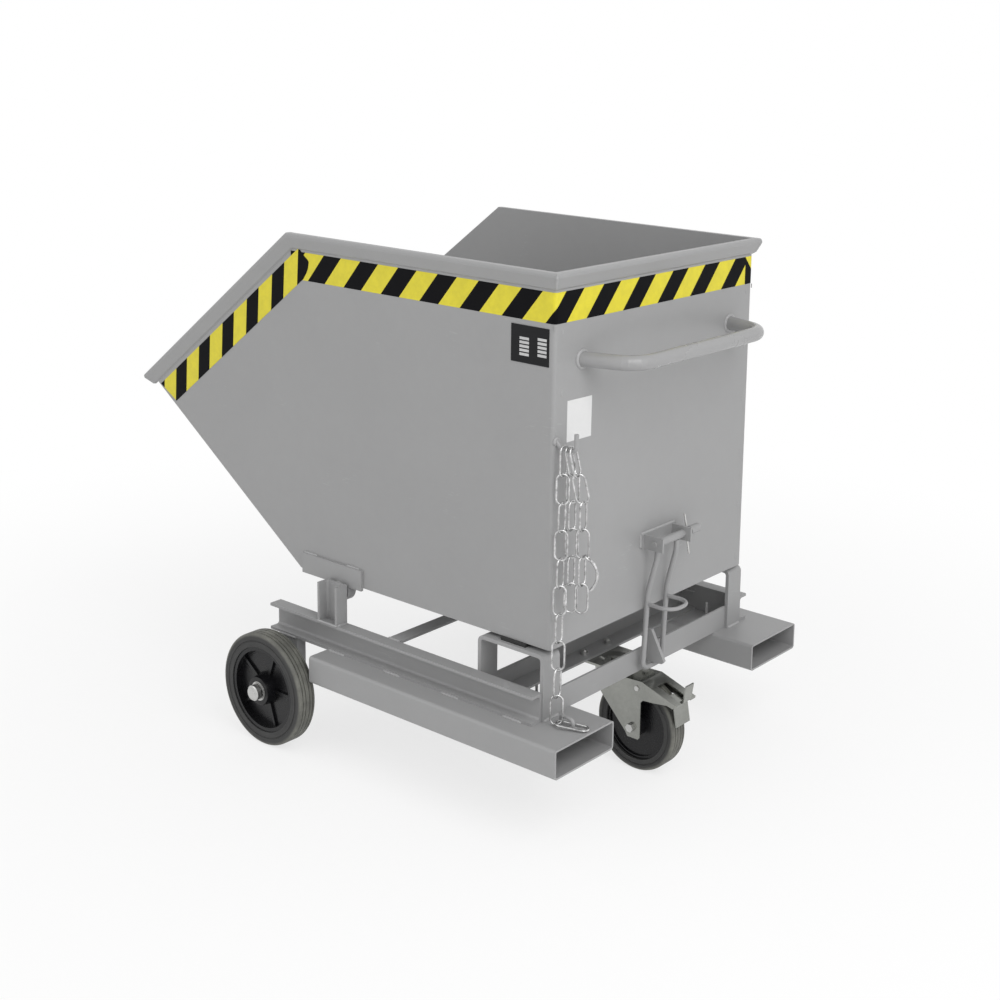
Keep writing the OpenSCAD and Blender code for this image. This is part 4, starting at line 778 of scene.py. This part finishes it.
class SKIP_OT_welds(bpy.types.Operator):
    """Runs weld beads along the joints of the skip and the frame"""

    bl_idname = "skip.welds"
    bl_label = "Run the Weld Beads"

    def execute(self, context):
        self.runs = {"skip": [], "frame": []}
        self.skip_seams()
        self.frame_seams()
        metal = weld_metal()
        for body, runs in self.runs.items():
            points, faces = join_meshes(runs)
            make_piece("welds_" + body, points, faces, metal, body)
        return {"FINISHED"}

    def run(self, body, points, size=1.0, up=(0, 0, 1), closed=False):
        """Adds one bead along points in millimetres, size times the usual radius."""
        seed = len(self.runs[body]) * 0.7
        self.runs[body].append(bead(place(points), sizes().weld_size * size, sizes().ripple_pitch,
                                    up, seed, closed))

    def stitches(self, body, start, end, length, gap, **options):
        """Short beads along a line, each of a length, with a gap between."""
        start, end = np.array(start, float), np.array(end, float)
        whole = np.linalg.norm(end - start)
        along = (end - start) / whole
        for at in np.arange(0, whole - length * 0.5, length + gap):
            stop = min(at + length, whole)
            self.run(body, [start + at * along, start + stop * along], **options)

    def skip_seams(self):
        """The seams of the rear wall, the handle, the pivot plates, the rim, the hook and the latch."""
        for side in (-1, 1):
            mirror = np.array([1, side, 1])
            out = (1, side, 0)
            y = side * WALL_SEAM_Y
            self.stitches("skip", (-0.6, y, 385), (-0.6, y, 1000), 16, 105, size=0.45, up=(1, 0, 0))
            foot_y, foot_z, foot_r = HANDLE_FOOT
            foot = ring_points((0, side * foot_y, foot_z), foot_r, (1, 0, 0))
            self.run("skip", foot, 1.1, (1, 0, 0), True)
            seam_y, seam_z = PIVOT_PLATE_SEAM
            for front, rear in PIVOT_PLATE_TACKS:
                self.run("skip", [(front, side * seam_y, seam_z), (rear, side * seam_y, seam_z)],
                         0.8, (0, side, 0))
            self.run("skip", RIM_MITRE * mirror, 0.6, (1, -side, 0))
            self.run("skip", RIM_MITRE_INSIDE * mirror, 0.8, out)
            self.run("skip", CORNER_TACK * mirror, 0.3, out)
        self.run("skip", ring_points(HOOK_FOOT, 5.6, (1, 0, 0)), 0.9, (1, 0, 0), True)
        low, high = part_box("latch_bracket")
        near, far, base, top = low.y / MM, high.y / MM, low.z / MM, high.z / MM
        self.run("skip", [(0.4, near, top + 0.8), (0.4, far, top + 0.8)], 0.9, (1, 0, 0))
        self.run("skip", [(0.4, near - 0.5, base), (0.4, near - 0.5, top)], 0.8, (1, 0, 0))
        self.run("skip", [(0.4, far + 0.5, base), (0.4, far + 0.5, top)], 0.8, (1, 0, 0))

    def frame_seams(self):
        """The seams of the rails, posts, portals, wheel brackets, cross members, lug and bow."""
        for side in (-1, 1):
            out = side * RAIL_OUT
            inner = side * RAIL_IN
            self.stitches("frame", (-580, out, POCKET_TOP), (-14, out, POCKET_TOP), 48, 118,
                          size=0.85, up=(0, side, 1))
            front, rear = POST_FOOT
            self.run("frame", [(front, out, RAIL_TOP), (rear, out, RAIL_TOP)], 0.75, (0, side, 1))
            for x, face in ((rear + 0.4, 1), (front - 0.4, -1)):
                self.run("frame", [(x, side * 376, 285.6), (x, side * 348, 285.6)], 0.9, (face, 0, 1))
            for x, face in zip(PORTAL_FOOT, (-1, 1)):
                self.run("frame", [(x, side * 345, 225.8), (x, side * 299, 225.8)], 1.0, (face, 0, 1))
            low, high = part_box("wheel_bracket_left" if side < 0 else "wheel_bracket_right")
            x0, x1 = (low.x - WALL_X) / MM, (high.x - WALL_X) / MM
            y0 = side * (max(abs(low.y), abs(high.y)) / MM + 0.4)
            self.run("frame", [(x0, y0, 224.4), (x1, y0, 224.4)], 0.9, (0, side, -1))
            self.run("frame", [(-429, inner, 285.4), (-396, inner, 285.4)], 0.8, (0, -side, 1))
            self.run("frame", [(-174, inner, 266), (-128, inner, 266)], 0.8, (0, -side, 1))
            self.run("frame", [(-62.5, side * 298, 227), (-62.5, side * 298, 272)], 0.8, (0, -side, 0))
        for side in (-1, 1):
            self.run("frame", [(-11.6, side * 4.4, 246), (-11.6, side * 4.4, 274)], 0.7, (1, side, 0))
        for x, y in BOW_FEET:
            self.run("frame", ring_points((x, y, 225.3), 4.9, (0, 0, 1)), 0.8, (0, 0, 1), True)


# Each lamp's name in the settings, its width, its place and the point it shines at, in metres.
LAMPS = (("key", 2.6, (3.2, -1.2, 3.4), (0.1, 0, 0.6)),
         ("fill", 3.0, (-1.6, -3.6, 2.4), (-0.2, 0, 0.6)),
         ("low", 2.0, (3.0, -0.9, 0.8), (0.4, 0.1, 0.25)))

# The photograph's camera: its turn, tilt and roll in radians, its place, its focal length as a share
# of the picture's width, and where its axis meets the picture.
CAMERA_TURN = 0.662
CAMERA_TILT = 0.188
CAMERA_ROLL = -0.023
CAMERA_PLACE = (1.8532, -2.5809, 1.5827)
CAMERA_FOCUS = 1.598
CAMERA_AXIS = (0.5994, 0.3167)
SENSOR = 36.0


class SKIP_OT_stage(bpy.types.Operator):
    """Sets up the floor, the soft lamps, the sky and the camera of the photograph"""

    bl_idname = "skip.stage"
    bl_label = "Set the Stage"

    def sky(self):
        """Even light for the object, and plain white where the camera or a reflection looks out."""
        world = bpy.data.worlds.new("Studio sky")
        bpy.context.scene.world = world
        world.use_nodes = True
        tree = world.node_tree
        tree.nodes.clear()
        seen = self.seen_mask(tree)
        strength = math_node(tree, "ADD", stage_settings().sky, math_node(
            tree, "MULTIPLY", seen, 1.0 - stage_settings().sky))
        back = add_node(tree, "ShaderNodeBackground", {"Color": (1, 1, 1, 1), "Strength": strength})
        out = tree.nodes.new("ShaderNodeOutputWorld")
        tree.links.new(back.outputs[0], out.inputs[0])

    def seen_mask(self, tree):
        """1 for rays from the camera, from a gloss or through glass."""
        rays = add_node(tree, "ShaderNodeLightPath")
        gloss = math_node(tree, "ADD", rays.outputs["Is Glossy Ray"], rays.outputs["Is Transmission Ray"])
        return math_node(tree, "ADD", rays.outputs["Is Camera Ray"], gloss, clamp=True)

    def floor(self):
        """A wide pale disc: radius grows with the first parameter and the angle with the second.

        It takes the object's shadow, and turns to plain white with the distance where it is seen.
        """
        radius = np.linspace(0.0001, 60.0, 12)
        angle = np.linspace(0, 2 * np.pi, 64, endpoint=False)
        points = np.stack([(radius[:, None] * np.cos(angle)).ravel(),
                           (radius[:, None] * np.sin(angle)).ravel(),
                           np.full(radius.size * angle.size, -0.0005)], axis=1)
        faces = grid_faces(12, 64, wrap_columns=True)
        mesh = bpy.data.meshes.new("floor")
        mesh.from_pydata(points.tolist(), [], faces.tolist())
        floor = bpy.data.objects.new("floor", mesh)
        bpy.context.scene.collection.objects.link(floor)
        material, tree, shader = start_material("Studio floor")
        rough = noise(tree, object_vector(tree), 3.0)
        tree.links.new(math_node(tree, "ADD", math_node(tree, "MULTIPLY", rough, 0.1), 0.75),
                       shader.inputs["Roughness"])
        shader.inputs["Base Color"].default_value = (0.93, 0.93, 0.93, 1)
        away = add_node(tree, "ShaderNodeVectorMath", {0: object_vector(tree)}, operation="LENGTH")
        distant = ramp(tree, away.outputs["Value"], 0.5, 2.4)
        white = math_node(tree, "ADD", 0.72, math_node(tree, "MULTIPLY", distant, 0.28))
        share = math_node(tree, "MULTIPLY", self.seen_mask(tree), white)
        glow = add_node(tree, "ShaderNodeEmission", {"Color": (1, 1, 1, 1), "Strength": 1.0})
        blend = add_node(tree, "ShaderNodeMixShader", {0: share, 1: shader.outputs[0], 2: glow.outputs[0]})
        out = next(node for node in tree.nodes if node.type == "OUTPUT_MATERIAL")
        tree.links.new(blend.outputs[0], out.inputs[0])
        mesh.materials.append(material)

    def lamp(self, name, watts, size, at, aim):
        """A square soft lamp at a point, aimed at another."""
        data = bpy.data.lights.new(name, "AREA")
        data.energy = watts
        data.size = size
        lamp = bpy.data.objects.new(name, data)
        bpy.context.scene.collection.objects.link(lamp)
        lamp.location = at
        lamp.rotation_euler = (Vector(aim) - Vector(at)).to_track_quat("-Z", "Y").to_euler()

    def camera(self):
        """The photograph's camera, with its axes worked out from its turn, tilt and roll."""
        turn_cos, turn_sin = math.cos(CAMERA_TURN), math.sin(CAMERA_TURN)
        tilt_cos, tilt_sin = math.cos(CAMERA_TILT), math.sin(CAMERA_TILT)
        roll_cos, roll_sin = math.cos(CAMERA_ROLL), math.sin(CAMERA_ROLL)
        view = Vector((-turn_sin * tilt_cos, turn_cos * tilt_cos, -tilt_sin))
        level = Vector((turn_cos, turn_sin, 0))
        down = view.cross(level)
        right = roll_cos * level + roll_sin * down
        drop = -roll_sin * level + roll_cos * down
        data = bpy.data.cameras.new("camera")
        data.sensor_width = SENSOR
        data.lens = SENSOR * CAMERA_FOCUS
        data.shift_x = 0.5 - CAMERA_AXIS[0]
        data.shift_y = CAMERA_AXIS[1] - 0.5
        data.clip_end = 100
        camera = bpy.data.objects.new("camera", data)
        bpy.context.scene.collection.objects.link(camera)
        turn = Matrix((right, -drop, -view)).transposed().to_4x4()
        camera.matrix_world = Matrix.Translation(Vector(CAMERA_PLACE) + Vector((WALL_X, 0, 0))) @ turn
        bpy.context.scene.camera = camera

    def execute(self, context):
        self.sky()
        self.floor()
        for name, width, at, aim in LAMPS:
            self.lamp(name + " lamp", getattr(stage_settings(), name), width, at, aim)
        self.camera()
        bpy.context.scene.view_settings.view_transform = "Standard"
        return {"FINISHED"}


class SKIP_PT_panel(bpy.types.Panel):
    """Lists the trolley's settings and the steps that dress it"""

    bl_idname = "SKIP_PT_panel"
    bl_label = "Skip Trolley"
    bl_space_type = "VIEW_3D"
    bl_region_type = "UI"
    bl_category = "Skip Trolley"

    def draw(self, context):
        for group in (context.scene.skip_finishes, context.scene.skip_sizes, context.scene.skip_stage):
            box = self.layout.box()
            for name in group.__annotations__:
                box.prop(group, name)
        for operator in OPERATORS:
            self.layout.operator(operator.bl_idname)


SETTINGS = (SkipFinishSettings, SkipSizeSettings, SkipStageSettings)
OPERATORS = (SKIP_OT_stage, SKIP_OT_paint, SKIP_OT_hardware, SKIP_OT_tape, SKIP_OT_label, SKIP_OT_welds)


def register():
    for item in SETTINGS + OPERATORS + (SKIP_PT_panel,):
        bpy.utils.register_class(item)
    bpy.types.Scene.skip_finishes = bpy.props.PointerProperty(type=SkipFinishSettings)
    bpy.types.Scene.skip_sizes = bpy.props.PointerProperty(type=SkipSizeSettings)
    bpy.types.Scene.skip_stage = bpy.props.PointerProperty(type=SkipStageSettings)


def unregister():
    del bpy.types.Scene.skip_stage
    del bpy.types.Scene.skip_sizes
    del bpy.types.Scene.skip_finishes
    for item in reversed(SETTINGS + OPERATORS + (SKIP_PT_panel,)):
        bpy.utils.unregister_class(item)


def main():
    register()
    bpy.ops.skip.stage()
    bpy.ops.skip.paint()
    bpy.ops.skip.hardware()
    bpy.ops.skip.tape()
    bpy.ops.skip.label()
    bpy.ops.skip.welds()


if __name__ == "__main__":
    main()
